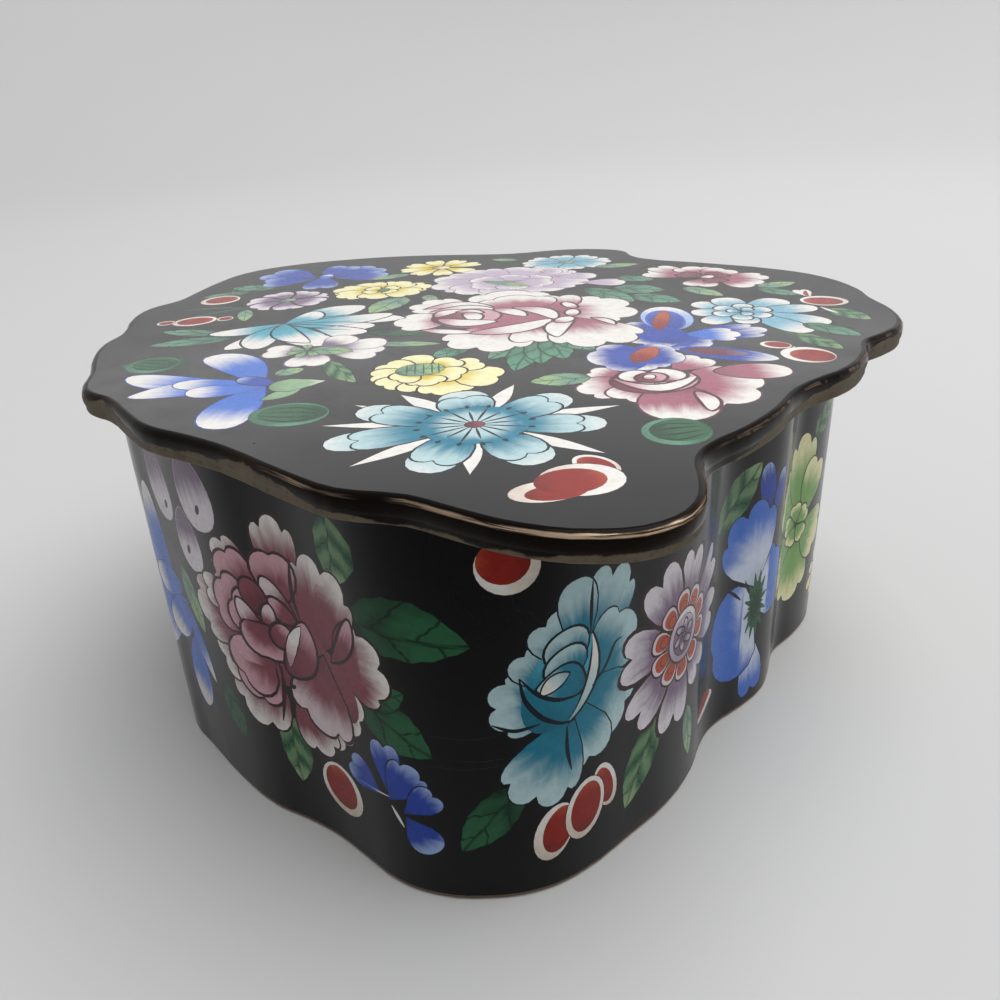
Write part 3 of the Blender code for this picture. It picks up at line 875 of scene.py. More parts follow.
    def turquoise_peony(self) -> None:
        """The turquoise peony of the front."""
        self.petals([
            (9, 28, 12.4, 39.9, 8.2, 4), (8.4, 28, 15.6, 32.4, 8.6, 3), (7.6, 28, 12.6, 18.6, 10.6, 3),
            (7, 26, 9, 16, 7.4, 2), (6.4, 25, 1.6, 13.2, 9.4, 4), (5.6, 27, -2.6, 27, 7.8, 4),
            (4.6, 28.4, 1, 33.5, 5, 2), (7.6, 30, 3.2, 36.6, 5.4, 2), (8.2, 30, 7.2, 40, 5, 1)
        ], TURQUOISE)
        self.oval((5.2, 28.6), 12.4, 7.4, 62, Coat(Paint.TEAL, Paint.TURQUOISE, width=0.0))
        for root, tip, width in (((7, 29), (5.6, 34.6), 5.4), ((7, 28), (5.2, 32.4), 5.2)):
            self.fan(root, tip, width, 1, TURQUOISE_CURL)
        self.each(self.blade, [
            ((8.2, 27.2), (2.6, 28.6), 4, TURQUOISE_CURL, (0.6, 0.8), -0.8),
            (
                (6.2, 29.4), (3, 27.8), 1.7, Coat(Paint.AQUA, Paint.WHITE, Paint.LINE_BLUE, width=0.24),
                (0.8, 0.8), -0.3
            ),
            (
                (6, 23.2), (9.2, 33), 1.1, Coat(Paint.AQUA, Paint.WHITE, Paint.LINE_BLUE, width=0.36),
                (0.9, 0.9), -1.7
            )
        ])
        for width, points in (
            (0.62, [(0.8, 30.4), (1.2, 27.4), (3, 24.8), (5.4, 23.2), (7, 23.2)]),
            (0.5, [(0.9, 30.3), (2.4, 28), (4.8, 26.4), (7.8, 26.2)]),
            (0.46, [(9, 33), (9.1, 36.4), (9.3, 39.2)]),
            (0.46, [(9.2, 26.4), (11.2, 28), (12.6, 30.6), (13.6, 30.4)]),
            (0.5, [(5.9, 22.8), (5.8, 19.6), (6.4, 16.6)]), (0.5, [(-2.2, 25), (0, 23.8), (2.8, 24.2)])
        ):
            self.stroke(points, width, DARK_BLUE)

    def mauve_flower(self) -> None:
        """The mauve flower with its ring of orange scallops."""
        centre = (24.7, 24.8)
        self.leaf((37, 31.6), (45.6, 38.6), 6.2, LEAF_FRESH)
        for angle, reach, width in (
            (77, 11.2, 5.4), (-56, 10.6, 5.4), (27, 12.6, 6), (-14, 12.6, 6.2), (-97, 13, 6.5),
            (118, 12, 6.8), (-140, 12.2, 6.3), (170, 11.6, 6.6)
        ):
            way = aim(angle)
            self.fan(centre + way, centre + way * reach, width, 2, MAUVE, 0.21)
        rings = [20 + 36 * k for k in range(10)]
        self.ring(
            centre, rings, 2, 6.1, 2.7, 1, Coat(Paint.CREAM, Paint.PETAL, streak=0.1, width=0.26), depth=0.04
        )
        self.ring(centre, rings, 2, 5.6, 2.2, 1, SCALLOP, depth=0.04)
        self.ring(centre, rings, 2, 4.6, 1.3, 1, RED_PATCH, depth=0.04)
        self.oval((25, 24.8), 6.8, 6.2, 80, Coat(Paint.LILAC, Paint.WHITE, turn=0.9, width=0.24))
        self.oval((25, 24.8), 5.2, 4.6, 80, Coat(Paint.MAUVE, Paint.LILAC, turn=0.8, width=0.1))
        for k in range(6):
            angle = 60 * k + 12
            way = aim(angle)
            self.oval(
                np.array([25, 24.8]) + 1.2 * way, 1.8, 0.8, angle + 25,
                Coat(Paint.MAUVE, Paint.LILAC, width=0.24)
            )
        self.blade((32.4, 6.2), (38.4, 7.2), 3, BERRY_RIM, (0.6, 0.6))
        self.blade((32.2, 7.2), (37.8, 7.6), 2.4, BERRY, (0.6, 0.6))

    def right_flowers(self) -> None:
        """The blue poppy, the light green flower and what lies between."""
        self.blade((48.2, 31), (46.8, 38), 3.4, COBALT, (0.6, 0.45))
        self.blade((50, 30), (51.4, 36), 2.6, COBALT, (0.6, 0.5))
        self.petals([
            (47, 19, 54.2, 21.4, 12, 3), (46.4, 13, 47.8, 1.6, 5.6, 2), (46.8, 15, 37, 12.4, 15.6, 2),
            (47, 19.8, 43.2, 32.8, 11.6, 4)
        ], POPPY)
        for k in range(24):
            angle = math.radians(15 * k)
            reach = 1.0 if k % 2 else 0.7
            self.stroke(
                [(47, 17), (47 + 2.5 * reach * math.cos(angle), 17 + 5.4 * reach * math.sin(angle))], 0.8,
                Coat(Paint.LEAF_DARK, Paint.LEAF, streak=0.0, width=0.0)
            )
        self.stroke([(44.2, 22), (45.2, 19.6)], 0.4, DARK_BLUE)
        self.stroke([(43.6, 19.2), (42, 20.8), (40.4, 22)], 0.5, DARK_BLUE)
        self.petals([
            (63.6, 21, 55, 30.6, 8.4, 3), (63.4, 20, 55.4, 15.4, 8.4, 3), (64, 21.4, 64, 35.8, 7.6, 3),
            (65, 21, 69.4, 30.8, 6.8, 2), (64.4, 20, 64.4, 8.2, 9.2, 3), (65, 20.4, 73, 16.4, 8.4, 3)
        ], LIME)
        self.ring((64, 21.4), [30, 100, 170, 240, 310], 0.3, 3.6, 3, 2, LIME)
        self.leaf((67, 34.6), (72.6, 38.6), 4.6, LEAF_FRESH)

    def hidden_side(self) -> None:
        """A row of flowers, sprigs and fruits round the sides and back that the picture doesn't show."""
        row = (
            (88, 26, 11, ROSE, ROSE_HEART), (112, 24, 10, TURQUOISE, TURQUOISE_PALE),
            (136, 27, 10.5, POPPY, COBALT), (-137, 25, 11, ROSE, ROSE_HEART), (-112, 27, 10, MAUVE, LAVENDER),
            (-88, 25, 10.5, TURQUOISE, TURQUOISE_PALE)
        )
        for along, lean in (
            (100, 0.5), (124, -0.6), (148, 0.6), (-149, -0.5), (-124.6, 0.6), (-100, -0.5), (-74, 0.6)
        ):
            self.sprig((along - 3 * lean, 3.6), (along + 5 * lean, 16.5), 5, LEAF_FRESH)
            self.sprig((along + 5 * lean, 30), (along - 5 * lean, 45), 5.4, LEAF)
        for number, (along, height, radius, coat, heart) in enumerate(row):
            for angle, far in ((35, 1.5), (150, 1.45), (250, 1.5), (320, 1.4)):
                way = aim(angle)
                kind = LEAF if number % 2 else LEAF_FRESH
                self.leaf(
                    (along, height) + way * radius * 0.6, (along, height) + way * radius * far, 5.4, kind, 0.6
                )
            self.rosette((along, height), radius, coat, heart, 31 * number)
            self.berry((along + 12, 9 if number % 2 else 40), 6.4, 5.4, 70, (0.3, 0.3))
        for along in (self.half, -self.half):
            for angle in (40, 140, 215, 325):
                way = aim(angle)
                self.leaf((along, 23) + way * 6, (along, 23) + way * 14.5, 5.6, LEAF, 0.6)
            self.ring((along, 23), [18 + 45 * k for k in range(8)], 1, 10.4, 7.4, 3, LIME)
            self.ring((along, 23), [40 + 60 * k for k in range(6)], 0.5, 5.8, 4.8, 2, LIME)
            self.oval((along, 23), 3.4, 3, 0, LEAF_SAGE)
        for along in (76, 100, 124, -149, -125, -100, -71):
            self.daisy((along, 41 if along % 2 else 8.4), 5.2, 9, 2, YELLOW, LEAF_SAGE, along)
        self.berry((-70.4, 9.6), 6, 5.2, 80, (0.3, 0.2))
        self.leaf((-68, 25), (-73.6, 17.6), 5.6, LEAF)
        self.leaf((-69, 30), (-75.4, 34.6), 5.2, LEAF_FRESH)

    def sprig(self, root: Spot, tip: Spot, size: float, coat: Coat) -> None:
        """A bent stem with leaves on both sides and one at its end.

        Args:
            root: Where the stem starts, mm.
            tip: Where the last leaf ends, mm.
            size: How long each leaf is, mm.
            coat: The leaves' paint.
        """
        way = np.subtract(tip, root) / math.dist(root, tip)
        side = np.array([-way[1], way[0]])
        run = [
            np.add(root, np.multiply(np.subtract(tip, root), share)) + side * 1.6 * math.sin(math.pi * share)
            for share in (0, 0.3, 0.55, 0.8)
        ]
        self.stroke(run, 0.5, STEM)
        for spot, turn in ((run[1], 1), (run[2], -1), (run[2], 1), (run[3], -1)):
            self.leaf(spot, spot + (way * 0.7 + side * 0.8 * turn) * size, size * 0.46, coat, 0.2 * turn)
        self.leaf(run[3], tip, size * 0.5, coat)


@dataclass
class Outline:
    """A closed line seen from above, anticlockwise, starting where it crosses the middle of the front."""

    points: np.ndarray
    normals: np.ndarray
    run: np.ndarray
    length: float

    @classmethod
    def of_node(cls, node: str, height: float, step: float) -> "Outline":
        """Reads the outermost line of a CAD node at a height.

        Args:
            node: The node's name.
            height: The height of the cut, mm.
            step: The spacing of the points, mm.

        Returns:
            The smoothed outline.
        """
        bm = bmesh.new()
        bm.from_mesh(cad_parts[node].data)
        bmesh.ops.remove_doubles(bm, verts=bm.verts, dist=1e-6)
        everything = bm.verts[:] + bm.edges[:] + bm.faces[:]
        bmesh.ops.bisect_plane(
            bm, geom=everything, dist=1e-8, plane_co=(0, 0, height * MM), plane_no=(0, 0, 1),
            clear_inner=True, clear_outer=True
        )
        loops = []
        left = set(bm.verts)
        while left:
            start = left.pop()
            loop = [start]
            last, here = None, start
            while True:
                ahead = [e.other_vert(here) for e in here.link_edges if e.other_vert(here) is not last]
                if not ahead or ahead[0] is start:
                    break
                last, here = here, ahead[0]
                if here not in left:
                    break
                left.discard(here)
                loop.append(here)
            loops.append(np.array([v.co[:2] for v in loop]) / MM)
        bm.free()
        widest = max(loops, key=lambda pts: np.ptp(pts[:, 0]))
        return cls.through(widest, step)

    @classmethod
    def through(cls, corners: np.ndarray, step: float) -> "Outline":
        """A smooth outline through a closed line's corners.

        Args:
            corners: The corners, mm.
            step: The spacing of the outline's points, mm.

        Returns:
            The outline.
        """
        turn = np.roll(corners, -1, 0)
        if (corners[:, 0] * turn[:, 1] - turn[:, 0] * corners[:, 1]).sum() < 0:
            corners = corners[::-1]
        a, b, c, d = (np.roll(corners, k, 0) for k in (1, 0, -1, -2))
        share = np.linspace(0, 1, 9)[:-1][None, :, None]
        a, b, c, d = (x[:, None, :] for x in (a, b, c, d))
        bow, twist = 2 * a - 5 * b + 4 * c - d, 3 * b - a - 3 * c + d
        dense = (0.5 * (2 * b + (c - a) * share + bow * share**2 + twist * share**3)).reshape(-1, 2)
        front = [k for k in range(len(dense)) if dense[k, 1] < 0 and dense[k - 1, 0] <= 0 < dense[k, 0]]
        dense = np.roll(dense, -front[0], 0)
        seam = dense[0] + (dense[-1] - dense[0]) * dense[0, 0] / (dense[0, 0] - dense[-1, 0])
        dense = np.vstack([seam, dense])
        closed = np.vstack([dense, dense[:1]])
        run = np.r_[0, np.cumsum(np.hypot(*np.diff(closed, axis=0).T))]
        count = int(round(run[-1] / step))
        even = np.arange(count) * run[-1] / count
        points = np.column_stack([np.interp(even, run, closed[:, k]) for k in (0, 1)])
        way = np.roll(points, -1, 0) - np.roll(points, 1, 0)
        way = np.roll(way, -1, 0) + 2 * way + np.roll(way, 1, 0)
        normals = np.column_stack([way[:, 1], -way[:, 0]])
        normals /= np.hypot(normals[:, 0], normals[:, 1])[:, None]
        return cls(points, normals, even, float(run[-1]))

    def at(self, run: np.ndarray) -> tuple[np.ndarray, np.ndarray]:
        """Finds places on the outline.

        Args:
            run: Distances round it, mm.

        Returns:
            The points and their outward directions.
        """
        spots = [np.interp(run, self.run, self.points[:, k], period=self.length) for k in (0, 1)]
        ways = [np.interp(run, self.run, self.normals[:, k], period=self.length) for k in (0, 1)]
        normals = np.column_stack(ways)
        return np.column_stack(spots), normals / np.hypot(normals[:, 0], normals[:, 1])[:, None]

    def moved(self, out: float) -> np.ndarray:
        """The outline's points moved outwards by so many mm."""
        return self.points + self.normals * out


@dataclass
class Picture:
    """Patches cut into a ground shape: points, triangles and the topmost patch of each triangle."""

    spots: np.ndarray
    triangles: np.ndarray
    owner: np.ndarray
    patches: list[Patch]

    @classmethod
    def cut(cls, ground: np.ndarray, patches: list[Patch], loose: np.ndarray, lines: np.ndarray) -> "Picture":
        """Cuts the patches into the ground.

        Args:
            ground: The ground's edge, mm.
            patches: The shapes, lowest first.
            loose: Points inside the ground that keep its triangles small, mm.
            lines: Pairs of points that the triangles' edges must follow, mm.

        Returns:
            The picture's triangles.
        """
        spots, edges = [lines.reshape(-1, 2), loose], [(2 * k, 2 * k + 1) for k in range(len(lines))]
        count = 2 * len(lines) + len(loose)
        for edge in [ground] + [p.edge for p in patches]:
            size = len(edge)
            edges += [(count + k, count + (k + 1) % size) for k in range(size)]
            spots.append(edge)
            count += size
        flat = [Vector((float(x), float(y))) for x, y in np.vstack([s for s in spots if len(s)])]
        verts, _, tris, _, _, _ = delaunay_2d_cdt(flat, edges, [], 0, 1e-4, False)
        places = np.array([v[:] for v in verts])
        tris = np.array(tris)
        middles = places[tris].mean(1)
        owner = np.full(len(tris), -1)
        for number, patch in enumerate(patches):
            owner[cls.within(middles, patch.edge)] = number
        inside = cls.within(middles, ground)
        used, kept = np.unique(tris[inside], return_inverse=True)
        return cls(places[used], kept.reshape(-1, 3), owner[inside], patches)

    @staticmethod
    def within(spots: np.ndarray, edge: np.ndarray) -> np.ndarray:
        """Finds the points inside a closed edge.

        Args:
            spots: The points.
            edge: The edge's corners.

        Returns:
            The numbers of the points that lie inside.
        """
        low, high = edge.min(0), edge.max(0)
        near = np.nonzero(((spots >= low) & (spots <= high)).all(1))[0]
        x, y = spots[near, 0][:, None], spots[near, 1][:, None]
        ahead = np.roll(edge, -1, 0)
        rise = ahead[:, 1] - edge[:, 1]
        at = edge[:, 0] + (y - edge[:, 1]) * (ahead[:, 0] - edge[:, 0]) / np.where(rise == 0, 1, rise)
        hits = ((edge[:, 1] > y) != (ahead[:, 1] > y)) & (at > x)
        return near[hits.sum(1) % 2 == 1]

    def dress(self, mesh: bpy.types.Mesh, corners: np.ndarray, faces: np.ndarray) -> None:
        """Writes the colours and the petal frame to the corners of these faces.

        Args:
            mesh: The mesh that holds the picture's triangles.
            corners: Each corner's place in the drawing, mm, for the mesh's first faces.
            faces: For each of those faces, the number of its patch, or -1 for the ground.
        """
        total = len(mesh.loops)
        plain = Coat(Paint.GROUND, Paint.GROUND, turn=0.0, streak=0.0)
        known = self.patches + [Patch(np.zeros((0, 2)), (0, 0), (1, 0), 1.0, False, plain, 0.0)]

        def gather(read: Callable[[Patch], Sequence[float]]) -> np.ndarray:
            """What read gives for the patch of each corner."""
            return np.array([read(p) for p in known], float)[np.repeat(faces, 3)]

        ink, glow = gather(lambda p: p.coat.ink.linear()), gather(lambda p: p.coat.glow.linear())
        root, tip = gather(lambda p: p.root), gather(lambda p: p.tip)
        spread, fan, seed = gather(lambda p: (p.spread, p.fan, p.seed)).T
        touch = gather(lambda p: (p.coat.streak, p.coat.vein, p.coat.turn))
        offset, way = corners - root, tip - root
        reach = np.hypot(way[:, 0], way[:, 1])
        way = way / reach[:, None]
        along = (offset * way).sum(1)
        across = offset[:, 1] * way[:, 0] - offset[:, 0] * way[:, 1]
        far = np.where(fan > 0.5, np.hypot(along, across), along) / reach
        side = np.where(fan > 0.5, np.arctan2(across, along + 1e-6), across) / spread
        values = {
            "ink": ("FLOAT_COLOR", np.column_stack([ink, np.ones(len(ink))])),
            "glow": ("FLOAT_COLOR", np.column_stack([glow, np.ones(len(glow))])),
            "lie": ("FLOAT_VECTOR", np.column_stack([far, np.clip(side, -1.5, 1.5), seed])),
            "touch": ("FLOAT_VECTOR", touch),
        }
        for name, (kind, rows) in values.items():
            layer = mesh.attributes.new(name, kind, "CORNER")
            full = np.zeros((total, rows.shape[1]), np.float32)
            full[: len(rows)] = rows
            layer.data.foreach_set("color" if kind == "FLOAT_COLOR" else "vector", full.ravel())


class Ring:
    """A loop of edges on a shell, which the next step of the shell grows from."""

    def __init__(self, bm: bmesh.types.BMesh, edges: list, start: np.ndarray, normals: np.ndarray) -> None:
        """Takes the loop.

        Args:
            bm: The shell.
            edges: The loop's edges.
            start: Each numbered vertex's place in plan, mm.
            normals: Each numbered vertex's outward direction.
        """
        self.bm = bm
        self.edges = edges
        self.start = start
        self.normals = normals
        self.key = bm.verts.layers.int["ring_key"]
        self.drop = bm.verts.layers.float["drop"]

    def step(self, out: float, height: Callable[[np.ndarray], float], slot: int, drop: float) -> None:
        """Grows one band of faces.

        Args:
            out: How far the new loop lies outside the start line, mm.
            height: Gives the new loop's height over a point in plan, mm.
            slot: The new faces' material.
            drop: The value kept for the finish, such as the depth below the top edge.
        """
        made = bmesh.ops.extrude_edge_only(self.bm, edges=self.edges)["geom"]
        fresh = {g for g in made if isinstance(g, bmesh.types.BMVert)}
        for vert in fresh:
            number = vert[self.key]
            spot = self.start[number] + self.normals[number] * out
            vert.co = (spot[0] * MM, spot[1] * MM, height(spot) * MM)
            vert[self.drop] = drop
        for part in made:
            if isinstance(part, bmesh.types.BMFace):
                part.material_index = slot
        self.edges = [
            g
            for g in made
            if isinstance(g, bmesh.types.BMEdge) and all(v in fresh for v in g.verts)
        ]


def new_shell(picture: Picture, lifted: np.ndarray, twins: dict[int, int]) -> bmesh.types.BMesh:
    """A bmesh that holds the picture's triangles.

    Args:
        picture: The painting.
        lifted: Its points' places, mm.
        twins: Points that another point stands for, where the drawing closes on itself.

    Returns:
        The new bmesh, in metres.
    """
    bm = bmesh.new()
    bm.verts.layers.int.new("ring_key")
    bm.verts.layers.float.new("drop")
    verts = {k: bm.verts.new(p) for k, p in enumerate(lifted * MM) if k not in twins}
    for corners in picture.triangles:
        bm.faces.new([verts[twins.get(int(k), int(k))] for k in corners])
    bm.verts.ensure_lookup_table()
    return bm


def border_ring(bm: bmesh.types.BMesh, edges: list, line: np.ndarray, normals: np.ndarray) -> Ring:
    """Makes a ring of a shell's open edges, each vertex with its own outward direction.

    Args:
        bm: The shell.
        edges: The open edges.
        line: The closed line that they follow, mm.
        normals: The outward directions along the line.

    Returns:
        The ring.
    """
    key = bm.verts.layers.int["ring_key"]
    verts = list({v for e in edges for v in e.verts})
    spots = np.array([v.co[:2] for v in verts]) / MM
    way = np.roll(line, -1, 0) - line
    share = np.clip(((spots[:, None] - line) * way).sum(2) / (way * way).sum(1), 0, 1)
    gap = np.hypot(*np.moveaxis(spots[:, None] - line - share[..., None] * way, 2, 0))
    best = gap.argmin(1)
    part = share[np.arange(len(verts)), best][:, None]
    mixed = normals[best] * (1 - part) + np.roll(normals, -1, 0)[best] * part
    for number, vert in enumerate(verts):
        vert[key] = number
    return Ring(bm, edges, spots, mixed / np.hypot(mixed[:, 0], mixed[:, 1])[:, None])


def loop_from(bm: bmesh.types.BMesh, outline: np.ndarray, height: float) -> list:
    """Lays a closed loop of edges.

    Args:
        bm: The shell.
        outline: The loop's points in plan, mm.
        height: Its height, mm.

    Returns:
        The edges.
    """
    key = bm.verts.layers.int["ring_key"]
    verts = [bm.verts.new((x * MM, y * MM, height * MM)) for x, y in outline]
    for number, vert in enumerate(verts):
        vert[key] = number
    return [bm.edges.new((verts[k - 1], verts[k])) for k in range(len(verts))]


def fill(bm: bmesh.types.BMesh, edges: list, slot: int) -> None:
    """Fills the flat area between closed loops of edges.

    Args:
        bm: The shell.
        edges: The loops' edges.
        slot: The new faces' material.
    """
    made = bmesh.ops.triangle_fill(bm, use_beauty=True, use_dissolve=False, edges=edges)["geom"]
    for part in made:
        if isinstance(part, bmesh.types.BMFace):
            part.material_index = slot


def finish_shell(bm: bmesh.types.BMesh, name: str, materials: list[bpy.types.Material]) -> bpy.types.Object:
    """Turns a closed bmesh into an object, its faces outward and smooth.

    Args:
        bm: The shell, which is freed.
        name: The piece's name.
        materials: Its materials, by slot.

    Returns:
        The piece.
    """
    bmesh.ops.recalc_face_normals(bm, faces=bm.faces)
    for face in bm.faces:
        face.smooth = True
    mesh = bpy.data.meshes.new(name)
    bm.to_mesh(mesh)
    bm.free()
    for material in materials:
        mesh.materials.append(material)
    piece = bpy.data.objects.new(name, mesh)
    bpy.context.scene.collection.objects.link(piece)
    return piece


def set_normals(mesh: bpy.types.Mesh, chosen: np.ndarray, normals: np.ndarray) -> None:
    """Gives some corners their own normals and leaves the others as they are.

    Args:
        mesh: The mesh.
        chosen: The corners' numbers.
        normals: Their normals.
    """
    full = np.zeros(len(mesh.loops) * 3, np.float32)
    mesh.corner_normals.foreach_get("vector", full)
    full = full.reshape(-1, 3)
    full[chosen] = normals
    mesh.normals_split_custom_set(full)


class Bench:
    """Lays and joins the nodes of one shader tree."""

    def __init__(self, tree: bpy.types.NodeTree) -> None:
        """Works on this tree."""
        self.tree = tree

    def put(self, kind: str, values: dict | None = None, **settings: object) -> bpy.types.Node:
        """Adds a node, sets its settings, and fills or links its inputs.

        Args:
            kind: The node's type.
            values: What each input gets, by name or number: a socket to link, or a value.
            settings: The node's own settings.

        Returns:
            The node.
        """
        node = self.tree.nodes.new(kind)
        for name, value in settings.items():
            setattr(node, name, value)
        self.feed(node, values or {})
        return node

    def feed(self, node: bpy.types.Node, values: dict) -> None:
        """Fills or links a node's inputs.

        Args:
            node: The node.
            values: What each input gets, by name or number: a socket to link, or a value.
        """
        for name, value in values.items():
            if isinstance(value, bpy.types.NodeSocket):
                self.tree.links.new(value, node.inputs[name])
            else:
                node.inputs[name].default_value = value

    def math(self, kind: str, a: object, b: object = 0.0, c: object = 0.0, clamp: bool = False) -> Socket:
        """One Math node."""
        return self.put("ShaderNodeMath", {0: a, 1: b, 2: c}, operation=kind, use_clamp=clamp).outputs[0]

    def times(self, a: object, b: object, clamp: bool = False) -> Socket:
        """Two values multiplied."""
        return self.math("MULTIPLY", a, b, clamp=clamp)

    def plus(self, a: object, b: object) -> Socket:
        """Two values added."""
        return self.math("ADD", a, b)

    def minus(self, a: object, b: object) -> Socket:
        """The second value taken from the first."""
        return self.math("SUBTRACT", a, b)

    def times_plus(self, a: object, b: object, c: object) -> Socket:
        """The first two values multiplied, and the third added."""
        return self.math("MULTIPLY_ADD", a, b, c)

    def bump(self, height: Socket, strength: float, distance: float = 0.001) -> Socket:
        """A surface made uneven by a height."""
        values = {"Height": height, "Strength": strength, "Distance": distance}
        return self.put("ShaderNodeBump", values).outputs[0]

    def ramp(
        self, value: object, low: float, high: float, start: float = 0.0, end: float = 1.0,
        kind: str = "SMOOTHSTEP"
    ) -> Socket:
        """A soft step from start to end as value goes from low to high."""
        values = {"Value": value, "From Min": low, "From Max": high, "To Min": start, "To Max": end}
        return self.put("ShaderNodeMapRange", values, interpolation_type=kind).outputs["Result"]

    def mix(self, share: object, a: object, b: object, kind: str = "MIX") -> Socket:
        """One colour mixed into another."""
        settings = {"data_type": "RGBA", "blend_type": kind, "clamp_result": True}
        return self.put("ShaderNodeMix", {0: share, 6: a, 7: b}, **settings).outputs[2]

    def noise(self, vector: Socket, scale: float, detail: float = 2.0, rough: float = 0.5) -> Socket:
        """Soft noise from 0 to 1."""
        values = {"Vector": vector, "Scale": scale, "Detail": detail, "Roughness": rough}
        return self.put("ShaderNodeTexNoise", values).outputs[0]

    def joined(self, x: object, y: object, z: object) -> Socket:
        """A vector from three values."""
        return self.put("ShaderNodeCombineXYZ", {0: x, 1: y, 2: z}).outputs[0]

    def parts(self, vector: Socket) -> tuple[Socket, Socket, Socket]:
        """A vector's three values."""
        node = self.put("ShaderNodeSeparateXYZ", {0: vector})
        return node.outputs[0], node.outputs[1], node.outputs[2]

    def attribute(self, name: str, socket: str) -> Socket:
        """A value that the mesh carries."""
        return self.put("ShaderNodeAttribute", attribute_name=name).outputs[socket]


def colour(hue: Paint) -> tuple[float, float, float, float]:
    """A paint as a socket's value."""
    return (*hue.linear(), 1.0)


def new_group(
    name: str, inputs: dict[str, str], outputs: dict[str, str]
) -> tuple[bpy.types.NodeTree, Bench, bpy.types.Node, bpy.types.Node]:
    """An empty shader group with named sockets.

    Args:
        name: The group's name.
        inputs: The socket type of each input.
        outputs: The socket type of each output.

    Returns:
        The group, its bench, and its input and output nodes.
    """
    tree = bpy.data.node_groups.new(name, "ShaderNodeTree")
    for label, kind in inputs.items():
        tree.interface.new_socket(name=label, in_out="INPUT", socket_type=kind)
    for label, kind in outputs.items():
        tree.interface.new_socket(name=label, in_out="OUTPUT", socket_type=kind)
    bench = Bench(tree)
    return tree, bench, bench.put("NodeGroupInput"), bench.put("NodeGroupOutput")


class SharedEffects:
    """Shader groups that several finishes use."""

    def __init__(self) -> None:
        """Builds both groups once."""
        self.glaze = self.make_glaze()
        self.age = self.make_age()

    def make_glaze(self) -> bpy.types.NodeTree:
        """Fired glass: slow waves, fine orange peel and a few pin holes, as a height and a roughness.

        Returns:
            The group.
        """
        kinds = {"Vector": "NodeSocketVector", "Roughness": "NodeSocketFloat", "Waves": "NodeSocketFloat"}
        tree, bench, start, end = new_group(
            "fired_glaze", kinds, {"Height": "NodeSocketFloat", "Roughness": "NodeSocketFloat"}
        )
        place = start.outputs["Vector"]
        waves = bench.noise(place, 55.0, 1.0)
        peel = bench.noise(place, 900.0, 2.0)
        cells = bench.put(
            "ShaderNodeTexVoronoi", {"Vector": place, "Scale": 420.0, "Randomness": 1.0}
        ).outputs["Distance"]
        near = bench.ramp(cells, 0.05, 0.1, 1.0, 0.0)
        where = bench.ramp(bench.noise(place, 60.0, 2.0), 0.62, 0.7)
        pits = bench.times(near, where)
        height = bench.times(waves, start.outputs["Waves"])
        height = bench.times_plus(peel, 0.018, height)
        height = bench.times_plus(pits, -0.05, height)
        smear = bench.ramp(bench.noise(place, 130.0, 4.0, 0.6), 0.35, 0.75, 0.0, 0.12)
        rough = bench.plus(start.outputs["Roughness"], smear)
        rough = bench.times_plus(pits, 0.4, rough)
        bench.feed(end, {"Height": height, "Roughness": rough})
        return tree

    def make_age(self) -> bpy.types.NodeTree:
        """Years of handling: faint dust in broad patches and fine hairlines, mixed over a colour.

        Returns:
            The group.
        """
        kinds = {
            "Vector": "NodeSocketVector", "Color": "NodeSocketColor", "Dust": "NodeSocketFloat",
            "Hairlines": "NodeSocketFloat"
        }
        tree, bench, start, end = new_group("years_of_handling", kinds, {"Color": "NodeSocketColor"})
        place = start.outputs["Vector"]
        bent = bench.put(
            "ShaderNodeVectorMath", {0: bench.noise(place, 70.0, 3.0), 1: (0.02, 0.02, 0.02)},
            operation="MULTIPLY"
        ).outputs[0]
        warped = bench.put("ShaderNodeVectorMath", {0: place, 1: bent}, operation="ADD").outputs[0]
        cells = bench.put(
            "ShaderNodeTexVoronoi", {"Vector": warped, "Scale": 32.0}, feature="DISTANCE_TO_EDGE"
        ).outputs["Distance"]
        lines = bench.ramp(cells, 0.002, 0.008, 1.0, 0.0)
        gaps = bench.ramp(bench.noise(place, 38.0, 2.0), 0.56, 0.66)
        lines = bench.times(bench.times(lines, gaps), start.outputs["Hairlines"])
        dust = bench.ramp(bench.noise(place, 48.0, 5.0, 0.65), 0.3, 0.8)
        dust = bench.times(dust, start.outputs["Dust"])
        dusty = bench.mix(dust, start.outputs["Color"], (0.4, 0.4, 0.4, 1.0))
        bench.feed(end, {"Color": bench.mix(lines, dusty, (0.2, 0.17, 0.14, 1.0))})
        return tree


@dataclass(frozen=True)
class Finish:
    """A finish of the box, which makes its own material."""

    name: str
    effects: SharedEffects

    def start(self) -> tuple[bpy.types.Material, Bench, bpy.types.Node, Socket]:
        """Starts a material.

        Returns:
            The material, its bench, its Principled shader and the place on the piece.
        """
        material = bpy.data.materials.new(self.name)
        material.use_nodes = True
        bench = Bench(material.node_tree)
        shader = material.node_tree.nodes["Principled BSDF"]
        place = bench.put("ShaderNodeTexCoord").outputs["Object"]
        return material, bench, shader, place


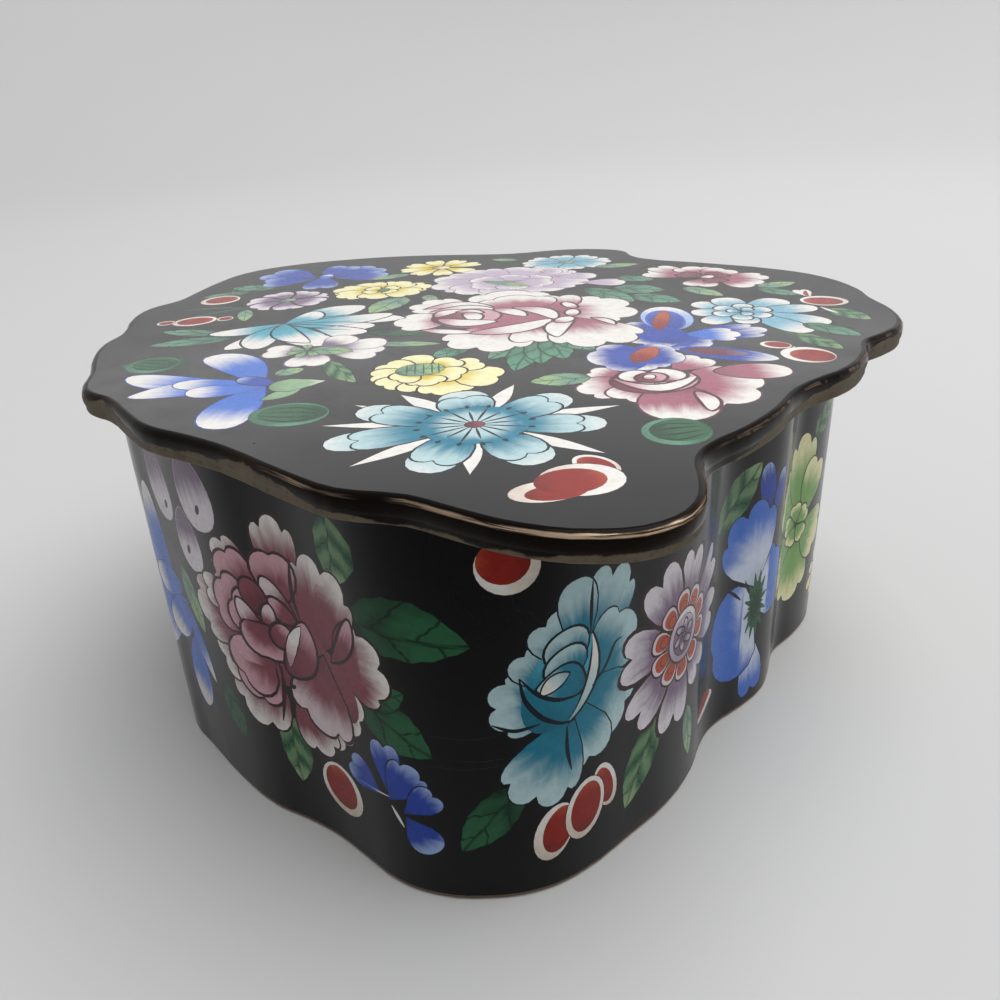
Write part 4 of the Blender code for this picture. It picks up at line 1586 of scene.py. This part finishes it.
@dataclass(frozen=True)
class PaintedEnamel(Finish):
    """Black enamel with the painting: reads the colours and petal frames that the mesh carries."""

    roughness: float = 0.12
    mirror: float = 1.0
    # depth scales the paint's brightness; below 1 it is painted shade that darkens the whole painting
    depth: float = 1.0
    dust: float = 0.012
    waves: float = 0.5
    bump: float = 0.10

    def build(self) -> bpy.types.Material:
        """Makes the material.

        Returns:
            The material.
        """
        material, bench, shader, place = self.start()
        ink = bench.attribute("ink", "Color")
        glow = bench.attribute("glow", "Color")
        far, side, seed = bench.parts(bench.attribute("lie", "Vector"))
        streak, vein, turn = bench.parts(bench.attribute("touch", "Vector"))
        wide = bench.times_plus(seed, 37.0, bench.times(side, 2.6))
        sweep = bench.joined(wide, bench.times(far, 1.1), bench.times(seed, 11.0))
        sweep = bench.noise(sweep, 1.6, 2.0)
        narrow = bench.times_plus(seed, 51.0, bench.times(side, 11.0))
        hairs = bench.noise(bench.joined(narrow, bench.times(far, 1.6), seed), 2.0, 3.0, 0.6)
        shift = bench.times(bench.minus(sweep, 0.5), bench.times(streak, 1.3))
        fine = bench.times(bench.minus(hairs, 0.5), bench.times(streak, 0.5))
        spot = bench.plus(bench.minus(far, turn), bench.plus(shift, fine))
        share = bench.ramp(spot, -0.26, 0.15)
        paint = bench.mix(share, ink, glow)
        inner = bench.ramp(far, 0.0, 0.4, 0.7, 1.0)
        brushed = bench.times(streak, 4.0, clamp=True)
        dim = bench.minus(1.0, bench.times(bench.minus(1.0, inner), brushed))
        paint = bench.mix(1.0, paint, bench.joined(dim, dim, dim), "MULTIPLY")
        away = bench.math("ABSOLUTE", side)
        middle = bench.ramp(away, 0.05, 0.1, 1.0, 0.0)
        lean = bench.minus(far, bench.times(away, 0.26))
        offset = bench.times_plus(sweep, 0.4, bench.times(bench.math("SIGN", side), 0.2))
        rib = bench.math("PINGPONG", bench.times_plus(lean, 2.7, offset), 0.5)
        ribs = bench.ramp(rib, 0.025, 0.06, 1.0, 0.0)
        veins = bench.times(bench.math("MAXIMUM", middle, ribs), vein, clamp=True)
        paint = bench.mix(bench.times(veins, 0.8), paint, colour(Paint.LINE_GREEN))
        cells = bench.times(bench.ramp(rib, 0.1, 0.42, 0.0, 0.5), vein)
        paint = bench.mix(cells, paint, glow)
        edge = bench.times(bench.ramp(away, 0.6, 1.05), vein, clamp=True)
        paint = bench.mix(bench.times(edge, 0.45), paint, colour(Paint.LINE_GREEN))
        # Fine mottled grain, scaled by depth: where depth is below 1, as on the wall, this also paints shade
        # over the painting
        grain_and_painted_shade = bench.ramp(
            bench.noise(place, 1100.0, 3.0, 0.6), 0.25, 0.8, 0.86 * self.depth, 1.08 * self.depth, "LINEAR"
        )
        paint = bench.mix(1.0, paint, bench.joined(grain_and_painted_shade, grain_and_painted_shade, grain_and_painted_shade), "MULTIPLY")
        aged = {"Vector": place, "Color": paint, "Dust": self.dust, "Hairlines": 0.02}
        age = bench.put("ShaderNodeGroup", aged, node_tree=self.effects.age)
        glass = {"Vector": place, "Roughness": self.roughness, "Waves": self.waves}
        glaze = bench.put("ShaderNodeGroup", glass, node_tree=self.effects.glaze)
        painted = bench.ramp(turn, 0.0, 0.1, 0.0, 0.1)
        rough = bench.plus(glaze.outputs["Roughness"], painted)
        brushed = bench.times_plus(bench.times(hairs, streak), 0.05, glaze.outputs["Height"])
        bump = bench.bump(brushed, self.bump)
        bench.feed(shader, {"Base Color": age.outputs["Color"], "Roughness": rough, "Normal": bump})
        shader.inputs["Specular Tint"].default_value = (self.mirror, self.mirror, self.mirror, 1.0)
        return material


@dataclass(frozen=True)
class WornRim(Finish):
    """The lid's edge: a bronze line that is partly worn copper and partly a painted highlight glinting across
    the front, a dark glossy band and a dull tan band under it.
    """

    def build(self) -> bpy.types.Material:
        """Makes the material.

        Returns:
            The material.
        """
        material, bench, shader, place = self.start()
        drop = bench.attribute("drop", "Fac")
        slow = bench.noise(place, 42.0, 3.0, 0.6)
        quick = bench.noise(place, 340.0, 4.0, 0.65)
        fine = bench.noise(place, 1500.0, 3.0, 0.6)
        across, deep, _ = bench.parts(place)
        aside = bench.math("ABSOLUTE", bench.minus(across, 0.008))
        sideways = bench.ramp(aside, 0.01, 0.03, -0.35, 0.9)
        waver = bench.times(bench.minus(slow, 0.5), 4.6)
        waver = bench.times_plus(bench.minus(quick, 0.5), 1.1, waver)
        edge = bench.plus(drop, bench.times(waver, 0.09))
        line = bench.times(bench.ramp(edge, 0.44, 0.58, 1.0, 0.0), bench.ramp(edge, 0.12, 0.24))
        tan = bench.ramp(bench.plus(bench.plus(drop, waver), sideways), 1.9, 2.2)
        dark = bench.mix(bench.ramp(slow, 0.5, 0.75), (0.004, 0.003, 0.0025, 1.0), (0.02, 0.009, 0.005, 1.0))
        dull = bench.mix(quick, (0.055, 0.042, 0.028, 1.0), (0.15, 0.125, 0.09, 1.0))
        dull = bench.mix(bench.ramp(fine, 0.55, 0.7, 0.0, 0.5), dull, (0.02, 0.016, 0.012, 1.0))
        scaled = [bench.times(value, by) for value, by in ((across, 170.0), (deep, 170.0), (drop, 8.0))]
        # Bronze from dark to bright along noise streaks; the bright streaks are painted glints as well as
        # bare metal
        streaks = bench.ramp(bench.noise(bench.joined(*scaled), 1.0, 4.0, 0.65), 0.42, 0.6)
        bronze = bench.mix(streaks, (0.03, 0.018, 0.01, 1.0), (0.6, 0.44, 0.31, 1.0))
        paint = bench.mix(tan, dark, dull)
        # Where the bronze line shows: fully across the front and in faint specks on the right. This is a
        # painted highlight where the edge glints, on top of worn copper.
        nose = bench.times(bench.ramp(across, -0.024, -0.013), bench.ramp(across, 0.014, 0.024, 1.0, 0.0))
        grit_and_glints = bench.times(bench.ramp(quick, 0.46, 0.58), bench.ramp(across, 0.014, 0.024, 0.0, 0.3))
        rubbed_and_glint = bench.times(line, bench.math("MAXIMUM", nose, grit_and_glints))
        rubbed_and_glint = bench.times(rubbed_and_glint, bench.ramp(slow, 0.32, 0.5))
        paint = bench.mix(rubbed_and_glint, paint, bronze)
        glass = {"Vector": place, "Roughness": 0.12, "Waves": 0.3}
        glaze = bench.put("ShaderNodeGroup", glass, node_tree=self.effects.glaze)
        rough = bench.times_plus(tan, 0.45, glaze.outputs["Roughness"])
        rough = bench.times_plus(rubbed_and_glint, 0.16, rough)
        metal = bench.times(rubbed_and_glint, 0.8)
        height = bench.times_plus(bench.times(quick, tan), 0.25, glaze.outputs["Height"])
        bump = bench.bump(height, 0.3, 0.0008)
        bench.feed(shader, {"Base Color": paint, "Roughness": rough, "Metallic": metal, "Normal": bump})
        shader.inputs["Specular Tint"].default_value = (0.26, 0.2, 0.16, 1.0)
        shader.inputs["Specular IOR Level"].default_value = 0.14
        return material


@dataclass(frozen=True)
class CounterEnamel(Finish):
    """Plain blue-green enamel of the inside and the underside, with darker specks."""

    shade: tuple[float, float, float, float] = (0.06, 0.26, 0.28, 1.0)

    def build(self) -> bpy.types.Material:
        """Makes the material.

        Returns:
            The material.
        """
        material, bench, shader, place = self.start()
        cloud = bench.ramp(bench.noise(place, 45.0, 4.0, 0.6), 0.3, 0.7)
        pale = tuple(min(1.0, c * 1.5 + 0.03) for c in self.shade[:3]) + (1.0,)
        paint = bench.mix(cloud, self.shade, pale)
        cells = bench.put("ShaderNodeTexVoronoi", {"Vector": place, "Scale": 520.0}).outputs["Distance"]
        where = bench.ramp(bench.noise(place, 300.0), 0.5, 0.6)
        specks = bench.times(bench.ramp(cells, 0.1, 0.2, 1.0, 0.0), where)
        paint = bench.mix(specks, paint, (0.02, 0.05, 0.06, 1.0))
        aged = {"Vector": place, "Color": paint, "Dust": 0.08, "Hairlines": 0.5}
        age = bench.put("ShaderNodeGroup", aged, node_tree=self.effects.age)
        glass = {"Vector": place, "Roughness": 0.2, "Waves": 0.8}
        glaze = bench.put("ShaderNodeGroup", glass, node_tree=self.effects.glaze)
        bump = bench.bump(glaze.outputs["Height"], 0.25)
        rough = glaze.outputs["Roughness"]
        bench.feed(shader, {"Base Color": age.outputs["Color"], "Roughness": rough, "Normal": bump})
        return material


@dataclass(frozen=True)
class BareCopper(Finish):
    """Darkened copper where the enamel stops, at the foot and the mouth."""

    def build(self) -> bpy.types.Material:
        """Makes the material.

        Returns:
            The material.
        """
        material, bench, shader, place = self.start()
        cloud = bench.noise(place, 180.0, 4.0, 0.65)
        fine = bench.noise(place, 1400.0, 3.0)
        paint = bench.mix(cloud, (0.05, 0.032, 0.022, 1.0), (0.24, 0.14, 0.085, 1.0))
        paint = bench.mix(bench.ramp(fine, 0.55, 0.7, 0.0, 0.6), paint, (0.03, 0.022, 0.018, 1.0))
        rough = bench.ramp(cloud, 0.3, 0.7, 0.58, 0.34)
        bump = bench.bump(fine, 0.3, 0.0004)
        metal = bench.ramp(cloud, 0.35, 0.65, 0.3, 0.85)
        bench.feed(shader, {"Base Color": paint, "Roughness": rough, "Metallic": metal, "Normal": bump})
        return material


@dataclass
class Lid:
    """The lift-off lid: painted top, rolled edge, underside and collar. Sizes in mm."""

    effects: SharedEffects
    rim_inset: float = 0.9
    edge_height: float = 51.42
    rim_level: float = 49.4
    half_width: float = 55.0
    half_depth: float = 56.0
    crown: float = 0.86
    crown_fall: float = 1.5
    sheet: float = 1.6
    under_turn: float = 1.0
    under_drop: float = 3.5
    collar_wall: float = 1.2
    collar_gap: float = 2.4
    collar_foot: float = 45.1
    collar_round: Spot = (0.25, 0.3)
    step: float = 0.7
    grid: float = 3.5
    border: float = 1.5
    rim_profile: tuple[Spot, ...] = (
        (0.2, 0.02), (0.42, 0.08), (0.62, 0.2), (0.76, 0.38), (0.86, 0.65), (0.9, 1.0), (0.9, 1.4),
        (0.86, 1.75), (0.78, 1.95), (0.73, 2.15), (0.73, 2.65), (0.64, 2.88), (0.4, 3.0), (-0.4, 3.0),
        (-0.66, 2.85), (-0.72, 2.6), (-0.72, 1.62)
    )

    def top(self, spots: np.ndarray) -> np.ndarray:
        """Height of the slightly domed top over points in plan, mm."""
        share = (spots[..., 0] / self.half_width) ** 2 + (spots[..., 1] / self.half_depth) ** 2
        return self.edge_height + self.crown * np.exp(-self.crown_fall * share)

    def build(self) -> bpy.types.Object:
        """Builds the lid as one closed shell.

        Returns:
            The finished piece.
        """
        outer = Outline.of_node("lid", self.rim_level, self.step)
        ground = outer.moved(-self.rim_inset)
        picture = Picture.cut(ground, LidPainting().draw(), self.grid_points(ground), np.zeros((0, 2, 2)))
        bm = new_shell(picture, np.column_stack([picture.spots, self.top(picture.spots)]), {})
        ring = border_ring(bm, [e for e in bm.edges if len(e.link_faces) == 1], ground, outer.normals)
        for out, drop in self.rim_profile:
            ring.step(out, lambda spot, drop=drop: float(self.top(spot)) - drop, LidSlot.RIM, drop)
        under = self.edge_height - self.sheet
        ring.step(-self.under_turn, lambda spot: under, LidSlot.UNDERSIDE, self.under_drop)
        body = Outline.of_node("box_body", WALL_LEVEL, 1.0)
        collar_line = body.moved(-self.collar_gap)
        start = loop_from(bm, collar_line, under)
        fill(bm, ring.edges + start, LidSlot.UNDERSIDE)
        collar = Ring(bm, start, collar_line, body.normals)
        foot, wall, (turn, lift) = self.collar_foot, self.collar_wall, self.collar_round
        for out, height in (
            (0.0, foot + lift), (-turn, foot), (turn - wall, foot), (-wall, foot + lift), (-wall, under)
        ):
            collar.step(out, lambda spot, height=height: height, LidSlot.UNDERSIDE, self.under_drop)
        fill(bm, collar.edges, LidSlot.UNDERSIDE)
        materials = [
            PaintedEnamel("lid_painting", self.effects, mirror=0.86).build(),
            WornRim("lid_rim", self.effects).build(),
            CounterEnamel("lid_underside", self.effects).build(),
        ]
        piece = finish_shell(bm, "lid_enamelled", materials)
        self.dress(piece.data, picture)
        return piece

    def grid_points(self, ground: np.ndarray) -> np.ndarray:
        """Scatters loose points inside the lid's edge, so that its dome has enough triangles.

        Args:
            ground: The edge, mm.

        Returns:
            The points, mm.
        """
        steps = np.arange(-60, 60, self.grid)
        x, y = np.meshgrid(steps, steps)
        spots = np.column_stack(
            [(x + (np.arange(len(steps)) % 2)[:, None] * self.grid / 2).ravel(), y.ravel()]
        )
        spots = spots[Picture.within(spots, ground)]
        gap = np.array([np.hypot(*(ground - s).T).min() for s in spots])
        return spots[gap > self.border]

    def dress(self, mesh: bpy.types.Mesh, picture: Picture) -> None:
        """Writes the painting and the dome's smooth normals to the top's corners.

        Args:
            mesh: The lid's mesh.
            picture: The painting, which is the mesh's first faces.
        """
        count = len(picture.triangles) * 3
        index = np.zeros(len(mesh.loops), np.int32)
        mesh.loops.foreach_get("vertex_index", index)
        corners = picture.spots[index[:count]]
        picture.dress(mesh, corners, picture.owner)
        fall = 2 * self.crown_fall * (self.top(corners) - self.edge_height)[:, None]
        slope = np.column_stack([fall * corners / (self.half_width**2, self.half_depth**2), np.ones(count)])
        set_normals(mesh, np.arange(count), slope / np.linalg.norm(slope, axis=1)[:, None])


@dataclass
class Body:
    """The open body: painted wall, mouth edge, plain inside, floor and underside. Sizes in mm."""

    effects: SharedEffects
    wall: float = 1.8
    floor: float = 1.8
    foot_line: float = 0.7
    top_line: float = 0.5
    column: float = 0.9

    def build(self) -> bpy.types.Object:
        """Builds the body as one closed shell.

        Returns:
            The finished piece.
        """
        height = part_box("box_body")[1].z / MM
        outline = Outline.of_node("box_body", WALL_LEVEL, self.column)
        half = outline.length / 2
        low, high = self.foot_line, height - self.top_line
        columns = np.linspace(-half, half, len(outline.run) + 1)
        rows = np.linspace(low, high, 13)
        ground = np.vstack([
            np.column_stack([columns, np.full(len(columns), low)]),
            np.column_stack([np.full(len(rows) - 2, half), rows[1:-1]]),
            np.column_stack([columns[::-1], np.full(len(columns), high)]),
            np.column_stack([np.full(len(rows) - 2, -half), rows[-2:0:-1]]),
        ])
        lines = np.array([[(c, low), (c, high)] for c in columns[1:-1]])
        picture = Picture.cut(ground, WallPainting(half).draw(), np.zeros((0, 2)), lines)
        self.rest = (columns, *outline.at(columns))

        lifted = np.column_stack([self.rolled(picture.spots[:, 0], 1), picture.spots[:, 1]])
        first = np.nonzero(picture.spots[:, 0] < -half + 1e-4)[0]
        last = np.nonzero(picture.spots[:, 0] > half - 1e-4)[0]
        order = [np.array(sorted(ends, key=lambda k: picture.spots[k, 1])) for ends in (first, last)]
        bm = new_shell(picture, lifted, {int(b): int(a) for a, b in zip(*order)})
        for level, profile in ((high, self.mouth_profile(height)), (low, self.foot_profile())):
            edges = [
                e
                for e in bm.edges
                if len(e.link_faces) == 1 and all(abs(v.co.z / MM - level) < 0.01 for v in e.verts)
            ]
            ring = border_ring(bm, edges, self.rest[1][:-1], self.rest[2][:-1])
            for out, at, slot in profile:
                ring.step(out, lambda spot, at=at: at, slot, at)
            fill(bm, ring.edges, BodySlot.INSIDE if level == high else BodySlot.UNDERSIDE)
        # The wall's paint is dimmed to 0.72 by depth: painted shade, since the wall gets less light than the
        # lid
        materials = [
            PaintedEnamel(
                "wall_painting", self.effects, roughness=0.14, mirror=0.1, depth=0.72, dust=0.003
            ).build(),
            CounterEnamel("inside_enamel", self.effects).build(),
            CounterEnamel("underside_enamel", self.effects, shade=(0.03, 0.11, 0.13, 1.0)).build(),
            BareCopper("bare_copper", self.effects).build(),
        ]
        piece = finish_shell(bm, "body_enamelled", materials)
        self.dress(piece.data, picture)
        return piece

    def mouth_profile(self, height: float) -> list[tuple[float, float, int]]:
        """Draws the rounded copper mouth and the inside wall, down to the floor's edge.

        Args:
            height: The mouth's height, mm.

        Returns:
            How far out, how high and of which material each step is.
        """
        wall, floor = self.wall, self.floor
        lip = ((0.06, 0.3), (0.2, 0.12), (0.5, 0.0), (wall - 0.5, 0.0), (wall - 0.12, 0.14), (wall, 0.5))
        bowl = ((0.0, 1.0), (0.15, 0.45), (0.5, 0.12), (1.0, 0.0))
        steps = [(-inward, height - down, BodySlot.COPPER) for inward, down in lip]
        return steps + [(-wall - inward, floor + up, BodySlot.INSIDE) for inward, up in bowl]

    def foot_profile(self) -> list[tuple[float, float, int]]:
        """Draws the bare copper line at the foot, turned in to the flat underside.

        Returns:
            How far out, how high and of which material each step is.
        """
        foot = ((0.0, 0.45), (0.12, 0.2), (0.32, 0.04), (0.6, 0.0), (1.6, 0.0))
        return [(-inward, up, BodySlot.COPPER) for inward, up in foot] + [(-2.2, 0.0, BodySlot.UNDERSIDE)]

    def rolled(self, along: np.ndarray, which: int) -> np.ndarray:
        """Points (1) or outward directions (2) of the wall at these distances along it."""
        columns = self.rest[0]
        return np.column_stack([np.interp(along, columns, self.rest[which][:, k]) for k in (0, 1)])

    def dress(self, mesh: bpy.types.Mesh, picture: Picture) -> None:
        """Writes the painting and the wall's smooth normals to the outside's corners.

        Args:
            mesh: The body's mesh.
            picture: The painting, which is the mesh's first faces.
        """
        corners = picture.spots[picture.triangles].reshape(-1, 2)
        count = len(corners)
        index = np.zeros(len(mesh.loops), np.int32)
        mesh.loops.foreach_get("vertex_index", index)
        place = np.zeros(len(mesh.vertices) * 3, np.float32)
        mesh.vertices.foreach_get("co", place)
        place = place.reshape(-1, 3)[index[:count]] / MM
        wanted = np.column_stack([self.rolled(corners[:, 0], 1), corners[:, 1]]).reshape(-1, 3, 3)
        got = place.reshape(-1, 3, 3)
        order = ((got[:, :, None] - wanted[:, None]) ** 2).sum(3).argmin(2)
        corners = np.take_along_axis(corners.reshape(-1, 3, 2), order[..., None], 1).reshape(-1, 2)
        picture.dress(mesh, corners, picture.owner)
        normals = np.column_stack([self.rolled(corners[:, 0], 2), np.zeros(count)])
        set_normals(mesh, np.arange(count), normals / np.linalg.norm(normals, axis=1)[:, None])


@dataclass
class Studio:
    """Camera, pale floor and soft light."""

    eye: tuple[float, float, float] = (-0.0002188, -0.11740, 0.085477)
    pitch: float = 26.5
    roll: float = 2.8
    focal: float = 0.90
    sensor: float = 36.0

    def place_camera(self) -> None:
        """Sets the camera to the photograph's view."""
        down_tilt, lean = math.radians(self.pitch), math.radians(self.roll)
        ahead = Vector((0, math.cos(down_tilt), -math.sin(down_tilt)))
        below = Vector((0, -math.sin(down_tilt), -math.cos(down_tilt)))
        right = Vector((1, 0, 0)) * math.cos(lean) + below * math.sin(lean)
        down = Vector((-1, 0, 0)) * math.sin(lean) + below * math.cos(lean)
        data = bpy.data.cameras.new("photo_view")
        data.sensor_width = self.sensor
        data.lens = self.focal * self.sensor
        data.clip_start = 0.005
        camera = bpy.data.objects.new("photo_view", data)
        turn = Matrix((right, -down, -ahead)).transposed().to_4x4()
        camera.matrix_world = Matrix.Translation(self.eye) @ turn
        bpy.context.scene.collection.objects.link(camera)
        bpy.context.scene.camera = camera

    def place_floor(self) -> None:
        """A pale grey floor that curves up into a backdrop all round, far outside the box, painted lighter
        towards the back.
        """
        bm = bmesh.new()
        verts = [bm.verts.new((x, 0, z)) for x, z in self.floor_profile()]
        line = [bm.edges.new(pair) for pair in zip(verts, verts[1:])]
        bmesh.ops.spin(
            bm, geom=verts + line, cent=(0, 0, 0), axis=(0, 0, 1), angle=math.tau, steps=96, use_merge=True
        )
        bmesh.ops.remove_doubles(bm, verts=bm.verts, dist=1e-6)
        bmesh.ops.recalc_face_normals(bm, faces=bm.faces)
        for face in bm.faces:
            face.smooth = True
        mesh = bpy.data.meshes.new("floor")
        bm.to_mesh(mesh)
        bm.free()
        floor = bpy.data.objects.new("floor", mesh)
        bpy.context.scene.collection.objects.link(floor)
        material = bpy.data.materials.new("pale_floor")
        material.use_nodes = True
        bench = Bench(material.node_tree)
        place = bench.put("ShaderNodeTexCoord").outputs["Object"]
        _, deep, _ = bench.parts(place)
        cloud = bench.times(bench.noise(place, 14.0, 4.0, 0.6), 0.1)
        # Painted light: the floor and backdrop get lighter towards the back, standing in for the brighter
        # light falling there
        back = bench.ramp(bench.plus(deep, cloud), -0.1, 0.7)
        painted_light_tone = bench.mix(back, (0.6, 0.6, 0.595, 1.0), (0.66, 0.66, 0.655, 1.0))
        shader = material.node_tree.nodes["Principled BSDF"]
        bench.feed(shader, {"Base Color": painted_light_tone, "Roughness": 0.85, "Specular IOR Level": 0.1})
        mesh.materials.append(material)

    def floor_profile(self) -> list[tuple[float, float]]:
        """Draws the floor's section from its middle outwards.

        Returns:
            The section's points, in metres.
        """
        flat, bend = 0.7, 0.6
        turn = [math.radians(9 * k) for k in range(11)]
        return [(0.0, 0.0), (0.35, 0.0)] + [
            (flat + bend * math.sin(a), bend * (1 - math.cos(a)))
            for a in turn
        ]

    def place_lights(self) -> None:
        """A bright soft surround and two large soft lamps."""
        world = bpy.data.worlds.new("soft_surround")
        world.use_nodes = True
        back = world.node_tree.nodes["Background"]
        back.inputs["Color"].default_value = (0.98, 0.985, 1.0, 1.0)
        back.inputs["Strength"].default_value = 0.4
        bpy.context.scene.world = world
        lamps = (
            ("window", (0.1, 0.98, 0.5), (1.8, 0.4), 0.8), ("ceiling", (0.34, 0.0, 1.05), (1.3, 1.3), 12.0)
        )
        for name, place, size, power in lamps:
            data = bpy.data.lights.new(name, "AREA")
            data.shape = "ELLIPSE"
            data.size, data.size_y = size
            data.energy = power
            lamp = bpy.data.objects.new(name, data)
            lamp.location = place
            lamp.rotation_euler = (Vector((0, 0, 0.03)) - Vector(place)).to_track_quat("-Z", "Y").to_euler()
            bpy.context.scene.collection.objects.link(lamp)
        bpy.context.scene.view_settings.view_transform = "Standard"

    def build(self) -> None:
        """Sets up the whole studio."""
        self.place_camera()
        self.place_floor()
        self.place_lights()


def main() -> None:
    """Builds the studio, the lid and the body, and ties the pieces to the CAD."""
    logging.basicConfig(level=logging.INFO, format="%(message)s")
    Studio().build()
    effects = SharedEffects()
    for maker, node, slot in (
        (Lid(effects), "lid", "lid_enamel"), (Body(effects), "box_body", "body_enamel")
    ):
        piece = maker.build()
        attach(piece, "root")
        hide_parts(node)
        log.info("%s: %d faces", piece.name, len(piece.data.polygons))


if __name__ == "__main__":
    main()
